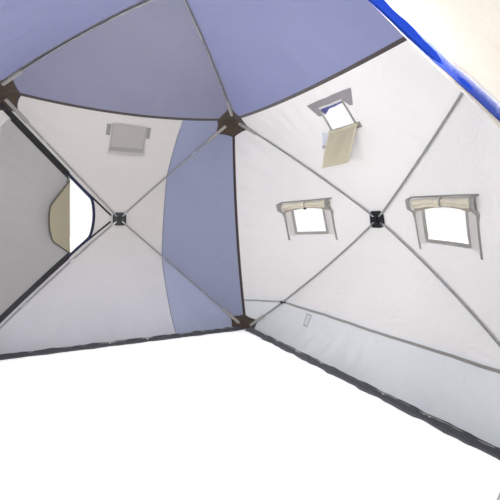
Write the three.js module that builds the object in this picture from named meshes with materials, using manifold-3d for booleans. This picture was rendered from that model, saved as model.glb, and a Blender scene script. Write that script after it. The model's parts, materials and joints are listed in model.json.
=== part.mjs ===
// Pop-up ice fishing shelter: five sprung hubs, twenty flexible poles, fabric walls and roof,
// ground skirt, doors and windows.
// Millimetres, +Z up, origin at the centre of the footprint on the ground.
// Door walls: a faces -Y and c faces +Y. Window walls: b faces -X and d faces +X.
import * as THREE from 'three';
import { mergeVertices } from 'three/addons/utils/BufferGeometryUtils.js';
import Module from 'manifold-3d';

const wasm = await Module();
wasm.setup();

// Shelter
const HALF_X = 1220;        // half footprint along X, at the ground
const HALF_Y = 1600;        // half footprint along Y, at the ground
const TAPER = 280;          // each wall leans in by this much at the eaves
const EAVES = 2050;         // height of the roof corners
const HUB_Z = 1130;         // height of the wall hubs
const HUB_OUT = 380;        // how far a popped wall hub stands out from mid wall
const ROOF_RISE = 300;      // how far the roof hub stands above the eaves
const BOW_LOW = 92;         // outward bow of the lower wall poles
const BOW_UP = 37;          // outward bow of the upper wall poles
const BOW_ROOF = 40;        // bow of the roof poles
const SAG_EDGE = 90;        // inward sag of a standing corner edge at mid height
const SAG_EAVES_IN = 50;    // inward sag of an eaves edge
const SAG_EAVES_DOWN = 85;  // downward sag of an eaves edge

// Fabric sheets
const CLOTH = 2;            // stand-in thickness of the fabric
const HUB_HOLE = 85;        // radius of the fabric opening round each hub
const SHEET_END = 0.997;    // a sheet stops here, on the way from the hub (0) to the edge (1)
const SHEET_RINGS = 6;      // steps from the hub to the edge
const SHEET_STEPS = 6;      // steps across each facet
const CUT_FROM = -700;      // cutting prisms span these heights along a wall's normal
const CUT_TO = 250;

// Doors
const ZIP = 60;             // zip line from the pole line
const BAND_START = 0.965;   // the doorway stops here, leaving a band along the corner edge
const STRIP_START = 0.93;   // the door's edge strip starts here
const FOLD_X = 440;         // door fold line from the wall's centre line
const TIP_X = 229;          // rounded end of the door opening from the centre line

const vec = (x, y, z) => new THREE.Vector3(x, y, z);

// Walls
// `right` and `up` span the wall's plane as seen from outside (+X and +Y on the roof).
function makeWall(hub, corners, bows) {
  const right = corners[1].clone().sub(corners[0]).normalize();
  const rise = corners[3].clone().sub(corners[0]);
  const normal = right.clone().cross(rise).normalize();
  const up = normal.clone().cross(right).normalize();
  const frame = new THREE.Matrix4().makeBasis(right, up, normal).setPosition(hub);
  return { hub, corners, bows, right, up, normal, frame };
}

function makeWalls() {
  const corner = (signX, signY, height) => {
    const lean = height === EAVES ? TAPER : 0;
    return vec(signX * (HALF_X - lean), signY * (HALF_Y - lean), height);
  };
  // a standing wall, from the footprint corners at its left and right ends
  const standing = (hub, left, right) => makeWall(
    hub,
    [corner(...left, 0), corner(...right, 0), corner(...right, EAVES), corner(...left, EAVES)],
    [BOW_LOW, BOW_LOW, BOW_UP, BOW_UP],
  );
  const hubX = HALF_X - TAPER / 2 + HUB_OUT;
  const hubY = HALF_Y - TAPER / 2 + HUB_OUT;
  const roofCorners = [[-1, -1], [1, -1], [1, 1], [-1, 1]].map((signs) => corner(...signs, EAVES));
  return {
    a: standing(vec(0, -hubY, HUB_Z), [-1, -1], [1, -1]),
    b: standing(vec(-hubX, 0, HUB_Z), [-1, 1], [-1, -1]),
    c: standing(vec(0, hubY, HUB_Z), [1, 1], [-1, 1]),
    d: standing(vec(hubX, 0, HUB_Z), [1, -1], [1, 1]),
    roof: makeWall(vec(0, 0, EAVES + ROOF_RISE), roofCorners, Array(4).fill(BOW_ROOF)),
  };
}
const walls = makeWalls();

// Sag at the middle of the edge between two corners; ground edges stay straight
function edgeSag(start, end) {
  const middle = start.clone().add(end).multiplyScalar(0.5);
  if (start.z !== end.z) {
    const inward = vec(-Math.sign(middle.x), -Math.sign(middle.y), 0);
    return inward.multiplyScalar(SAG_EDGE / Math.SQRT2);
  }
  if (start.z === EAVES) {
    const outward = vec(middle.x, middle.y, 0).normalize();
    return outward.multiplyScalar(-SAG_EAVES_IN).add(vec(0, 0, -SAG_EAVES_DOWN));
  }
  return vec(0, 0, 0);
}

// A point of a wall's fabric. Facet i lies between the poles to corners i and i + 1;
// `out` runs from the hub (0) to the edge (1), `across` from corner i (0) to i + 1 (1).
function surfacePoint(wall, facet, out, across) {
  const next = (facet + 1) % 4;
  const toFirst = wall.corners[facet].clone().sub(wall.hub);
  const toNext = wall.corners[next].clone().sub(wall.hub);
  const bow = (1 - across) * wall.bows[facet] + across * wall.bows[next];
  const sag = edgeSag(wall.corners[facet], wall.corners[next]);
  return wall.hub.clone()
    .addScaledVector(toFirst, out * (1 - across))
    .addScaledVector(toNext, out * across)
    .addScaledVector(wall.normal, 4 * bow * out * (1 - out))
    .addScaledVector(sag, 4 * across * (1 - across) * out * out);
}

// [x, y, z] of a point in the wall's frame: right, up and outward from the hub
function toWall(wall, point) {
  const offset = point.clone().sub(wall.hub);
  return [offset.dot(wall.right), offset.dot(wall.up), offset.dot(wall.normal)];
}

// Solids
function solid(source, matrix) {
  let geometry = source.clone();
  if (matrix) geometry.applyMatrix4(matrix);
  geometry.deleteAttribute('normal');
  geometry.deleteAttribute('uv');
  geometry = mergeVertices(geometry, 1e-3);
  return new wasm.Manifold(new wasm.Mesh({
    numProp: 3,
    vertProperties: new Float32Array(geometry.attributes.position.array),
    triVerts: new Uint32Array(geometry.index.array),
  }));
}

function geometryOf(manifold) {
  const mesh = manifold.getMesh();
  const geometry = new THREE.BufferGeometry();
  const positions = new Float32Array(mesh.vertProperties);
  geometry.setAttribute('position', new THREE.BufferAttribute(positions, 3));
  geometry.setIndex(new THREE.BufferAttribute(new Uint32Array(mesh.triVerts), 1));
  geometry.computeVertexNormals();
  return geometry;
}

function solidFromTriangles(points, indices) {
  const positions = new Float32Array(points.flatMap((point) => point.toArray()));
  const geometry = new THREE.BufferGeometry();
  geometry.setAttribute('position', new THREE.BufferAttribute(positions, 3));
  geometry.setIndex(indices);
  return solid(geometry);
}

// A closed sheet over a whole wall, moved by `shift` along its normal, open round the hub
function sheet(wall, shift = 0, thickness = CLOTH) {
  const around = 4 * SHEET_STEPS;
  const points = [];
  const indices = [];
  for (const side of [1, -1]) {
    for (let ring = 0; ring <= SHEET_RINGS; ring++) {
      for (let step = 0; step < around; step++) {
        const facet = Math.floor(step / SHEET_STEPS);
        const across = (step % SHEET_STEPS) / SHEET_STEPS;
        const start = HUB_HOLE / surfacePoint(wall, facet, 1, across).distanceTo(wall.hub);
        const out = start + (SHEET_END - start) * (ring / SHEET_RINGS);
        points.push(surfacePoint(wall, facet, out, across)
          .addScaledVector(wall.normal, shift + side * thickness / 2));
      }
    }
  }
  const outer = (ring, step) => ring * around + (step % around);
  const inner = (ring, step) => points.length / 2 + outer(ring, step);
  const quad = (p, q, r, s) => indices.push(p, q, r, p, r, s);
  for (let i = 0; i < SHEET_RINGS; i++) {
    for (let j = 0; j < around; j++) {
      quad(outer(i, j), outer(i + 1, j), outer(i + 1, j + 1), outer(i, j + 1));
      indices.push(inner(i, j), inner(i + 1, j + 1), inner(i + 1, j));
      indices.push(inner(i, j), inner(i, j + 1), inner(i + 1, j + 1));
    }
  }
  const last = SHEET_RINGS;
  for (let j = 0; j < around; j++) {
    quad(inner(last, j), inner(last, j + 1), outer(last, j + 1), outer(last, j));
    indices.push(inner(0, j), outer(0, j + 1), inner(0, j + 1));
    indices.push(inner(0, j), outer(0, j), outer(0, j + 1));
  }
  return solidFromTriangles(points, indices);
}

const shapeOf = (outline) => new THREE.Shape(outline.map(([x, y]) => new THREE.Vector2(x, y)));

// A prism through a wall along its normal, from an outline of [x, y] in the wall's frame
function prism(wall, outline) {
  const options = { depth: CUT_TO - CUT_FROM, bevelEnabled: false, steps: 1 };
  const geometry = new THREE.ExtrudeGeometry(shapeOf(outline), options);
  return solid(geometry.translate(0, 0, CUT_FROM), wall.frame);
}

// A rod of regular polygon section along a curve; `phase` turns it by a share of one side
function rodAlong(curve, radius, sides, phase) {
  const outline = [];
  for (let k = 0; k < sides; k++) {
    const angle = (k + phase) * 2 * Math.PI / sides;
    outline.push([radius * Math.cos(angle), radius * Math.sin(angle)]);
  }
  const shape = shapeOf(outline);
  shape.closePath();
  const options = { steps: 8, extrudePath: curve, bevelEnabled: false };
  return solid(new THREE.ExtrudeGeometry(shape, options));
}

// Materials
const MATERIALS = {
  bracket: { color: 0x141414, roughness: 0.5 },
  cap: { color: 0x1b1b1d, roughness: 0.7 },
  pole: { color: 0x8d9094, roughness: 0.45 },
  pocket: { color: 0x4a3b32, roughness: 0.9 },
  doorWall: { color: 0xbfb9ae, roughness: 0.9 },
  windowWall: { color: 0xe2ded4, roughness: 0.9 },
  roof: { color: 0x5a68b4, roughness: 0.85 },
  skirt: { color: 0x34363a, roughness: 0.95 },
  doorEdge: { color: 0x2b2b30, roughness: 0.8 },
  doorPanel: { color: 0x9a9b9c, roughness: 0.9 },
  doorTip: { color: 0xa8a382, roughness: 0.9 },
  slider: { color: 0x1a2230, roughness: 0.4, metalness: 0.6 },
  doorRoll: { color: 0x23348c, roughness: 0.85 },
  windowFrame: { color: 0xd8d2c2, roughness: 0.85 },
  windowFlap: { color: 0xb9b29b, roughness: 0.9 },
  windowRoll: { color: 0xcfc9ba, roughness: 0.9 },
};

const group = new THREE.Group();
function addGeometry(name, geometry, look) {
  const mesh = new THREE.Mesh(geometry, new THREE.MeshStandardMaterial(look));
  mesh.name = name;
  group.add(mesh);
}
const addSolid = (name, manifold, look) => addGeometry(name, geometryOf(manifold), look);

// Hub bracket: a square block inside the fabric, with cut corners, four pole slots and a boss
function hubBracket(wall) {
  const size = 118;
  const middleZ = -16;
  const cornerCut = 14;     // taken off each corner, along the diagonal
  const cutter = 30;
  const slotStart = 22;
  const slotLength = 90;
  const block = new THREE.BoxGeometry(size, size, 24).translate(0, 0, middleZ);
  let bracket = solid(block, wall.frame);
  const cutterX = size / 2 * Math.SQRT2 - cornerCut + cutter / 2;
  for (let k = 0; k < 4; k++) {
    const chamfer = new THREE.BoxGeometry(cutter, 200, 60)
      .translate(cutterX, 0, middleZ)
      .rotateZ(Math.PI / 4 + k * Math.PI / 2);
    bracket = bracket.subtract(solid(chamfer, wall.frame));
  }
  for (const corner of wall.corners) {
    const [x, y] = toWall(wall, corner);
    const slot = new THREE.BoxGeometry(slotLength, 16, 70)
      .translate(slotStart + slotLength / 2, 0, middleZ)
      .rotateZ(Math.atan2(y, x));
    bracket = bracket.subtract(solid(slot, wall.frame));
  }
  const boss = new THREE.CylinderGeometry(13, 16, 12, 12)
    .rotateX(-Math.PI / 2)
    .translate(0, 0, -33);
  return bracket.add(solid(boss, wall.frame));
}

// Hub cap: a disc outside the fabric, a neck through it and a tilted pull loop
function hubCap(wall) {
  const disc = new THREE.CylinderGeometry(62, 70, 7, 20)
    .rotateX(Math.PI / 2)
    .translate(0, 0, 8.5);
  const neck = new THREE.CylinderGeometry(15, 15, 12, 12)
    .rotateX(Math.PI / 2)
    .translate(0, 0, 2.5);
  const loop = new THREE.TorusGeometry(26, 4, 6, 14)
    .rotateX(Math.PI / 2 - 0.5)
    .translate(0, -8, 24);
  return solid(disc, wall.frame).add(solid(neck, wall.frame)).add(solid(loop, wall.frame));
}

// Pole: a bowed rod from its hub slot to just short of its corner
function pole(wall, index) {
  const radius = 5.5;
  const inset = 16;         // rod axis below the fabric ridge
  const startGap = 28;      // rod end from the hub centre
  const endGap = 110;       // rod tip from the corner
  const span = wall.corners[index].clone().sub(wall.hub);
  const bow = wall.bows[index];
  const pointAt = (t) => wall.hub.clone()
    .addScaledVector(span, t)
    .addScaledVector(wall.normal, 4 * bow * t * (1 - t) - inset);
  const start = startGap / span.length();
  const end = 1 - endGap / span.length();
  const slope = span.clone().addScaledVector(wall.normal, 4 * bow * (1 - 2 * start));
  const first = pointAt(start);
  const control = first.clone().addScaledVector(slope, (end - start) / 2);
  const curve = new THREE.QuadraticBezierCurve3(first, control, pointAt(end));
  return rodAlong(curve, radius, 8, 0.5);
}

// Corner pocket: a shell of flat facets round a corner, just inside the fabric.
// `parts` lists [wall, corner index] for each wall that meets there.
function cornerPocket(parts) {
  const leg = 210;          // reach along the fabric edges
  const poleLeg = leg * 0.8; // reach along the poles
  const outerDepth = 3.0;   // shell faces, below the fabric
  const innerDepth = 4.4;
  const weld = 8;           // points closer than this are one vertex

  const [firstWall, firstCorner] = parts[0];
  const vertices = [{ point: firstWall.corners[firstCorner].clone(), normals: [] }];
  const triangles = [];
  const vertexAt = (point) => {
    const found = vertices.findIndex((vertex) => vertex.point.distanceTo(point) < weld);
    return found >= 0 ? found : vertices.push({ point, normals: [] }) - 1;
  };
  const addFacet = (wall, from, to) => {
    const apex = vertices[0].point;
    const toFrom = vertices[from].point.clone().sub(apex);
    const normal = toFrom.cross(vertices[to].point.clone().sub(apex)).normalize();
    let triangle = [0, from, to];
    if (normal.dot(wall.normal) < 0) {
      normal.negate();
      triangle = [0, to, from];
    }
    triangle.forEach((v) => vertices[v].normals.push(normal));
    triangles.push(triangle);
  };
  for (const [wall, index] of parts) {
    const previous = (index + 3) % 4;
    const apex = wall.corners[index];
    const nextLength = wall.corners[(index + 1) % 4].distanceTo(apex);
    const previousLength = wall.corners[previous].distanceTo(apex);
    const poleLength = apex.distanceTo(wall.hub);
    const [before, onPole, after] = [
      surfacePoint(wall, previous, 1, 1 - leg / previousLength),
      surfacePoint(wall, index, 1 - poleLeg / poleLength, 0),
      surfacePoint(wall, index, 1, leg / nextLength),
    ].map(vertexAt);
    addFacet(wall, before, onPole);
    addFacet(wall, onPole, after);
  }

  // Moves a vertex inward so that every facet next to it moves by `depth` (least squares;
  // the small diagonal keeps the matrix invertible)
  const inset = ({ point, normals }, depth) => {
    const sums = [1e-3, 0, 0, 0, 1e-3, 0, 0, 0, 1e-3];
    const move = vec(0, 0, 0);
    for (const normal of normals) {
      const parts3 = normal.toArray();
      for (let i = 0; i < 3; i++) {
        for (let j = 0; j < 3; j++) sums[3 * i + j] += parts3[i] * parts3[j];
      }
      move.addScaledVector(normal, -depth);
    }
    return point.clone().add(move.applyMatrix3(new THREE.Matrix3().set(...sums).invert()));
  };
  const points = [outerDepth, innerDepth]
    .flatMap((depth) => vertices.map((vertex) => inset(vertex, depth)));

  const count = vertices.length;
  const indices = [];
  const edges = new Map();
  for (const [i, j, k] of triangles) {
    indices.push(i, j, k, count + i, count + k, count + j);
    for (const [from, to] of [[i, j], [j, k], [k, i]]) edges.set(`${from},${to}`, [from, to]);
  }
  // close the rim along edges that belong to one triangle only
  for (const [from, to] of edges.values()) {
    if (!edges.has(`${to},${from}`)) {
      indices.push(from, count + to, to, from, count + from, count + to);
    }
  }
  return solidFromTriangles(points, indices);
}

const { a: wallA, b: wallB, c: wallC, d: wallD, roof } = walls;
const POCKETS = {
  pocket_low_ab: [[wallA, 0], [wallB, 1]],
  pocket_low_ad: [[wallA, 1], [wallD, 0]],
  pocket_low_cd: [[wallC, 0], [wallD, 1]],
  pocket_low_bc: [[wallB, 0], [wallC, 1]],
  pocket_top_ab: [[wallA, 3], [wallB, 2], [roof, 0]],
  pocket_top_ad: [[wallA, 2], [wallD, 3], [roof, 1]],
  pocket_top_cd: [[wallC, 3], [wallD, 2], [roof, 2]],
  pocket_top_bc: [[wallB, 3], [wallC, 2], [roof, 3]],
};

// Door outlines, as [x, y] in the wall's frame
// The line of a pole. `margin` is measured off it into the door's facet, on the side `turn`
// gives; `side` is the door's half of the wall, +1 right or -1 left.
function poleLine(wall, index, side, turn) {
  const [x, y] = toWall(wall, wall.corners[index]);
  const length = Math.hypot(x, y);
  const along = [x / length, y / length];
  const aside = [-turn * along[1], turn * along[0]];
  const at = (distance, margin) => [
    along[0] * distance + aside[0] * margin,
    along[1] * distance + aside[1] * margin,
  ];
  // the point at `offset` from the wall's centre line
  const beside = (offset, margin) => at((side * offset - aside[0] * margin) / along[0], margin);
  return { length, along, at, beside };
}

function makeDoor(wall, facet, lowCorner, highCorner, side) {
  const lower = poleLine(wall, lowCorner, side, side);
  const upper = poleLine(wall, highCorner, side, -side);
  return { wall, facet, side, lower, upper };
}
// both doors are in the +X half of their wall
const doorA = makeDoor(wallA, 1, 1, 2, 1);
const doorC = makeDoor(wallC, 3, 0, 3, -1);

// The rounded end, from top to bottom, kept between the two margins
function tipArc({ side, lower, upper }, foldX, margin, inset) {
  const top = upper.beside(foldX, margin)[1];
  const bottom = lower.beside(foldX, margin)[1];
  const middle = (top + bottom) / 2;
  const half = (top - bottom) / 2;
  const reach = foldX - TIP_X - inset;
  const points = [];
  for (let k = 0; k <= 10; k++) {
    const angle = Math.PI / 2 - k * Math.PI / 10;
    const x = foldX - reach * Math.cos(angle);
    let y = middle + half * Math.sin(angle);
    y = Math.min(y, upper.beside(x, margin)[1]);
    y = Math.max(y, lower.beside(x, margin)[1]);
    points.push([side * x, y]);
  }
  return points;
}

// The end at the standing corner edge, from bottom to top, chamfered clear of the pockets
function cornerEnd({ wall, facet, side, lower, upper }, margin) {
  const poleClear = 200;    // chamfer start, from the corner along the pole
  const edgeClear = 245;    // chamfer end, from the corner along the standing edge
  const steps = 6;
  const shift = 1.3 * (margin - ZIP); // moves the chamfer in as the margin grows
  const edgeLength = wall.corners[facet].distanceTo(wall.corners[(facet + 1) % 4]);
  const start = edgeClear / edgeLength;
  const points = [lower.at(lower.length - poleClear - shift, margin)];
  for (let k = 0; k <= steps; k++) {
    const rise = start + (1 - 2 * start) * k / steps;
    // the facet runs upward on the right of a wall and downward on the left
    const across = side > 0 ? rise : 1 - rise;
    const [x, y] = toWall(wall, surfacePoint(wall, facet, BAND_START, across));
    const shiftY = k === 0 ? shift : k === steps ? -shift : 0;
    points.push([x, y + shiftY]);
  }
  points.push(upper.at(upper.length - poleClear - shift, margin));
  return points;
}

const doorway = (door) => [...cornerEnd(door, ZIP), ...tipArc(door, FOLD_X, ZIP, 0)];

// Window openings, as [left, bottom, right, top] in the frame of wall b; wall d mirrors them
const wallY = (height) => (height - HUB_Z) * Math.hypot(TAPER, EAVES) / EAVES;
const WINDOW_LOW = 1040;
const WINDOW_HIGH = 1240;
const WINDOWS = {
  far: [500, wallY(WINDOW_LOW), 810, wallY(WINDOW_HIGH)],               // towards wall a
  near: [-810, wallY(WINDOW_LOW - 30), -460, wallY(WINDOW_HIGH - 35)],  // towards wall c
  top: [-130, wallY(1768), 90, wallY(1900)],
};

function windowsOf(wall) {
  if (wall === wallB) return WINDOWS;
  const mirror = ([left, bottom, right, top]) => [-right, bottom, -left, top];
  return {
    far: mirror(WINDOWS.far),
    near: mirror(WINDOWS.near),
    top: mirror(WINDOWS.top),
  };
}

// Outline of a window opening, grown by `margin` all round
function windowOutline([left, bottom, right, top], margin = 0) {
  const [x0, y0, x1, y1] = [left - margin, bottom - margin, right + margin, top + margin];
  return [[x0, y0], [x1, y0], [x1, y1], [x0, y1]];
}

// Wall fabric
function cutSheet(wall, outlines) {
  return outlines.reduce((cloth, outline) => cloth.subtract(prism(wall, outline)), sheet(wall));
}
const doorWallFabric = (door) => cutSheet(door.wall, [doorway(door)]);
function windowWallFabric(wall) {
  const { far, near, top } = windowsOf(wall);
  return cutSheet(wall, [far, near, top].map((opening) => windowOutline(opening)));
}

// Ground skirt: a flat ring lying outside the walls
function groundSkirt() {
  const reach = 175;
  const gap = 9;
  const ring = (margin) => {
    const x = HALF_X + margin;
    const y = HALF_Y + margin;
    return shapeOf([[-x, -y], [x, -y], [x, y], [-x, y]]);
  };
  const shape = ring(reach);
  shape.holes.push(ring(gap));
  return solid(new THREE.ExtrudeGeometry(shape, { depth: 3, bevelEnabled: false }));
}

// The fabric point over [x, y] in the door's facet, by Newton's method
function fabricPoint({ wall, facet }, [x, y]) {
  const delta = 1e-4;
  let out = 0.45;
  let across = 0.5;
  const miss = (tryOut, tryAcross) => {
    const found = toWall(wall, surfacePoint(wall, facet, tryOut, tryAcross));
    return [found[0] - x, found[1] - y];
  };
  for (let k = 0; k < 60; k++) {
    const [missX, missY] = miss(out, across);
    const byOut = miss(out + delta, across);
    const byAcross = miss(out, across + delta);
    const outX = (byOut[0] - missX) / delta;
    const outY = (byOut[1] - missY) / delta;
    const acrossX = (byAcross[0] - missX) / delta;
    const acrossY = (byAcross[1] - missY) / delta;
    const determinant = outX * acrossY - acrossX * outY;
    out -= (acrossY * missX - acrossX * missY) / determinant;
    across -= (-outY * missX + outX * missY) / determinant;
  }
  return surfacePoint(wall, facet, out, across);
}

// Door of wall a: a strip along the standing edge and the panel next to it
function addDoorPanels(door) {
  const { wall, facet, lower, upper } = door;
  const gap = 3;            // clearance to the doorway and to the fold line
  const margin = ZIP + gap;
  const lineAcross = (out) => {
    const points = [];
    for (let k = 0; k <= 8; k++) {
      const [x, y] = toWall(wall, surfacePoint(wall, facet, out, k / 8));
      points.push([x, y]);
    }
    return points;
  };
  const body = sheet(wall).intersect(prism(wall, [
    ...cornerEnd(door, margin),
    upper.beside(FOLD_X + gap, margin),
    lower.beside(FOLD_X + gap, margin),
  ]));
  const strip = [...lineAcross(STRIP_START), ...lineAcross(BAND_START - 0.008).reverse()];
  // the last three points only close the outline well outside the panel
  const panel = [...lineAcross(STRIP_START - 0.003), [0, 900], [-200, 0], [0, -900]];
  addSolid('door_edge', body.intersect(prism(wall, strip)), MATERIALS.doorEdge);
  addSolid('door_panel', body.intersect(prism(wall, panel)), MATERIALS.doorPanel);
}

// Door tip: the rounded end, cut in its closed place, then folded back inside
function doorTip(door) {
  const { wall, lower, upper } = door;
  const foldBack = 162;     // degrees
  const foldDrop = 24;      // fold axis inside the fabric
  const margin = ZIP + 26;
  const closed = sheet(wall).intersect(prism(wall, tipArc(door, FOLD_X - 3, margin, 6)));
  const foldPoint = (line) => fabricPoint(door, line.beside(FOLD_X, margin))
    .addScaledVector(wall.normal, -foldDrop);
  const low = foldPoint(lower);
  const axis = foldPoint(upper).sub(low).normalize();
  const turn = new THREE.Matrix4().makeTranslation(low.x, low.y, low.z)
    .multiply(new THREE.Matrix4().makeRotationAxis(axis, -foldBack * Math.PI / 180))
    .multiply(new THREE.Matrix4().makeTranslation(-low.x, -low.y, -low.z));
  return solid(geometryOf(closed), turn);
}

// Zip slider: a body with a pull tab, inside the fabric, lined up with the pole line
function zipSlider(door, line) {
  const chord = 300;        // its direction is taken over this length
  const place = line.beside(FOLD_X + 26, ZIP + 12);
  const ahead = [place[0] + line.along[0] * chord, place[1] + line.along[1] * chord];
  const origin = fabricPoint(door, place);
  const along = fabricPoint(door, ahead).sub(origin).normalize();
  const sideways = door.wall.normal.clone().negate().cross(along).normalize();
  const frame = new THREE.Matrix4()
    .makeBasis(along, sideways, along.clone().cross(sideways))
    .setPosition(origin);
  const body = new THREE.BoxGeometry(24, 10, 4.5).translate(0, 0, 8.5);
  const tab = new THREE.BoxGeometry(34, 7, 1.6).translate(-12, 0, 11.1);
  return solid(body, frame).add(solid(tab, frame));
}

// Door of wall c: rolled up along the standing corner edge, outside
function doorRoll({ wall, facet }) {
  const points = [];
  for (let k = 0; k <= 6; k++) {
    points.push(surfacePoint(wall, facet, 1, 0.13 + 0.74 * k / 6)
      .addScaledVector(wall.normal, 74)
      .add(vec(-46, 0, 0)));
  }
  return rodAlong(new THREE.CatmullRomCurve3(points), 40, 10, 0);
}

// Sewn frame round the top window, just inside the fabric
function windowFrame(wall, opening) {
  return sheet(wall, -6, 3)
    .intersect(prism(wall, windowOutline(opening, 34)))
    .subtract(prism(wall, windowOutline(opening, -2)));
}

// Cover of the top window, hanging below the frame inside the shelter
function windowFlap(wall, [left, , right]) {
  const drop = 236;
  const hingeX = Math.sign(wall.hub.x) * 1082;
  const hingeZ = 1716;
  const hingeGap = 4;
  return new THREE.BoxGeometry(3, right - left + 70, drop)
    .translate(hingeX, 45, hingeZ - drop / 2 - hingeGap);
}

// Height of the fabric along the wall's normal near [x, y], from the closest grid point
function fabricHeight(wall, x, y) {
  const facet = x > 0 ? 1 : 3;
  let closest = Infinity;
  let height = 0;
  for (let out = 0.1; out < 1; out += 0.01) {
    for (let across = 0; across <= 1.0001; across += 0.02) {
      const found = toWall(wall, surfacePoint(wall, facet, out, across));
      const distance = Math.hypot(found[0] - x, found[1] - y);
      if (distance < closest) {
        closest = distance;
        height = found[2];
      }
    }
  }
  return height;
}

// Rolled cover of a side window, just inside the fabric above the opening
function windowRoll(wall, [left, , right, top]) {
  const radius = 21;
  const clearance = 16;
  const overhang = 50;
  const y = top + 52;
  const endAt = (x) => vec(x, y, fabricHeight(wall, x, y) - radius - clearance)
    .applyMatrix4(wall.frame);
  const start = endAt(left - overhang);
  const end = endAt(right + overhang);
  const direction = end.clone().sub(start).normalize();
  const turn = new THREE.Quaternion().setFromUnitVectors(vec(0, 1, 0), direction);
  const place = new THREE.Matrix4()
    .makeRotationFromQuaternion(turn)
    .setPosition(start.clone().add(end).multiplyScalar(0.5));
  return solid(new THREE.CylinderGeometry(radius, radius, start.distanceTo(end), 10), place);
}

// Assembly
const wallEntries = Object.entries(walls);
for (const [name, wall] of wallEntries) {
  addSolid(`hub_${name}`, hubBracket(wall), MATERIALS.bracket);
}
for (const [name, wall] of wallEntries) {
  addSolid(`hub_cap_${name}`, hubCap(wall), MATERIALS.cap);
}
for (const [name, wall] of wallEntries) {
  for (let i = 0; i < 4; i++) addSolid(`pole_${name}_${i + 1}`, pole(wall, i), MATERIALS.pole);
}
for (const [name, parts] of Object.entries(POCKETS)) {
  addSolid(name, cornerPocket(parts), MATERIALS.pocket);
}

addSolid('wall_a', doorWallFabric(doorA), MATERIALS.doorWall);
addSolid('wall_b', windowWallFabric(wallB), MATERIALS.windowWall);
addSolid('wall_c', doorWallFabric(doorC), MATERIALS.doorWall);
addSolid('wall_d', windowWallFabric(wallD), MATERIALS.windowWall);
addSolid('roof_fabric', sheet(roof), MATERIALS.roof);
addSolid('ground_skirt', groundSkirt(), MATERIALS.skirt);

addDoorPanels(doorA);
addSolid('door_tip', doorTip(doorA), MATERIALS.doorTip);
addSolid('zip_slider_upper', zipSlider(doorA, doorA.upper), MATERIALS.slider);
addSolid('zip_slider_lower', zipSlider(doorA, doorA.lower), MATERIALS.slider);
addSolid('door_roll_c', doorRoll(doorC), MATERIALS.doorRoll);

for (const [name, wall] of [['b', wallB], ['d', wallD]]) {
  const openings = windowsOf(wall);
  addSolid(`window_frame_${name}`, windowFrame(wall, openings.top), MATERIALS.windowFrame);
  addGeometry(`window_flap_${name}`, windowFlap(wall, openings.top), MATERIALS.windowFlap);
  for (const key of ['far', 'near']) {
    const roll = windowRoll(wall, openings[key]);
    addSolid(`window_roll_${name}_${key}`, roll, MATERIALS.windowRoll);
  }
}

export default group;
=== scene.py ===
# Square pop-up hub tent, about 2 m high, centred on the origin with its foot at z = 0.
# Wall a faces -Y, b -X, c +Y and d +X. Each wall, and the roof, is pushed outwards by a hub
# in its middle, from which four rods run to the corners. Wall a has a zipped door, wall c an
# open doorway with its door rolled up beside it, and walls b and d have windows.
import json
import math

import bmesh
import bpy
import numpy as np
from mathutils import Matrix, Vector
from mathutils.geometry import delaunay_2d_cdt

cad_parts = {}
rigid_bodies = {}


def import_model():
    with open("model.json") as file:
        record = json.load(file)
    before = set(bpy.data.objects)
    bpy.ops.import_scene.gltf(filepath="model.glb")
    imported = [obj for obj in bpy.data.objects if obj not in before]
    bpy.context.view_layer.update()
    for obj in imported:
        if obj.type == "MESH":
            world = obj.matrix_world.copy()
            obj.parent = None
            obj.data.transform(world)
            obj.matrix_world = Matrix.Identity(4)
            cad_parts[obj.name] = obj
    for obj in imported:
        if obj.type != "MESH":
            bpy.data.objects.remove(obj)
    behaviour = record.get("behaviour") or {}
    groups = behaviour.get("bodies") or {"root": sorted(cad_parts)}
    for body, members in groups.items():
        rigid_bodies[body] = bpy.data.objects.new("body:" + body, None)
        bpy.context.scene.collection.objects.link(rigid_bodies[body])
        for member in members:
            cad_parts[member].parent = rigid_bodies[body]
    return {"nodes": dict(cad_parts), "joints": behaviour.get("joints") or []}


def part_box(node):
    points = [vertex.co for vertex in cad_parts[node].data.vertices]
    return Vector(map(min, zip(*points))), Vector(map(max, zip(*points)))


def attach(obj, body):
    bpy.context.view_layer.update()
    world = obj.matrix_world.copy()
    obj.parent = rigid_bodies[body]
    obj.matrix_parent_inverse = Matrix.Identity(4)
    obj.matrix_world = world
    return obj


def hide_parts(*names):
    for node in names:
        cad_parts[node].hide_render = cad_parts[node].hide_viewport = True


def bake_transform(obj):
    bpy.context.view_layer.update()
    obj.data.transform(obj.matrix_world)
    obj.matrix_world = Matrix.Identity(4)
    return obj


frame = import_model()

for _object in list(bpy.data.objects):
    is_cube = _object.type == "MESH" and _object.name == "Cube"
    if _object.type in {"LIGHT", "CAMERA"} or is_cube:
        bpy.data.objects.remove(_object, do_unlink=True)
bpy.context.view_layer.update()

# ---------------------------------------------------------------- dimensions, in metres
SKIRT_REACH = 0.175                      # ground skirt beyond the foot of the walls
_skirt_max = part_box("ground_skirt")[1]
HALF_X = round(_skirt_max[0] - SKIRT_REACH, 4)
HALF_Y = round(_skirt_max[1] - SKIRT_REACH, 4)
LEAN = 0.28                              # how far each wall leans in from foot to eaves
EAVES = 2.05
HUB_Z = 1.13                             # wall hubs
HUB_OUT = 0.38                           # wall hubs beyond the wall's mean plane
ROOF_RISE = 0.30                         # roof hub above the eaves
BOW_LOW, BOW_UP, BOW_ROOF = 0.092, 0.037, 0.040    # rods bowed outwards
SAG_EDGE, SAG_IN, SAG_DOWN = 0.090, 0.050, 0.085   # upright edges in; eaves in and down
ROD_INSET = 0.017                        # rod axis behind the cloth

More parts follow.
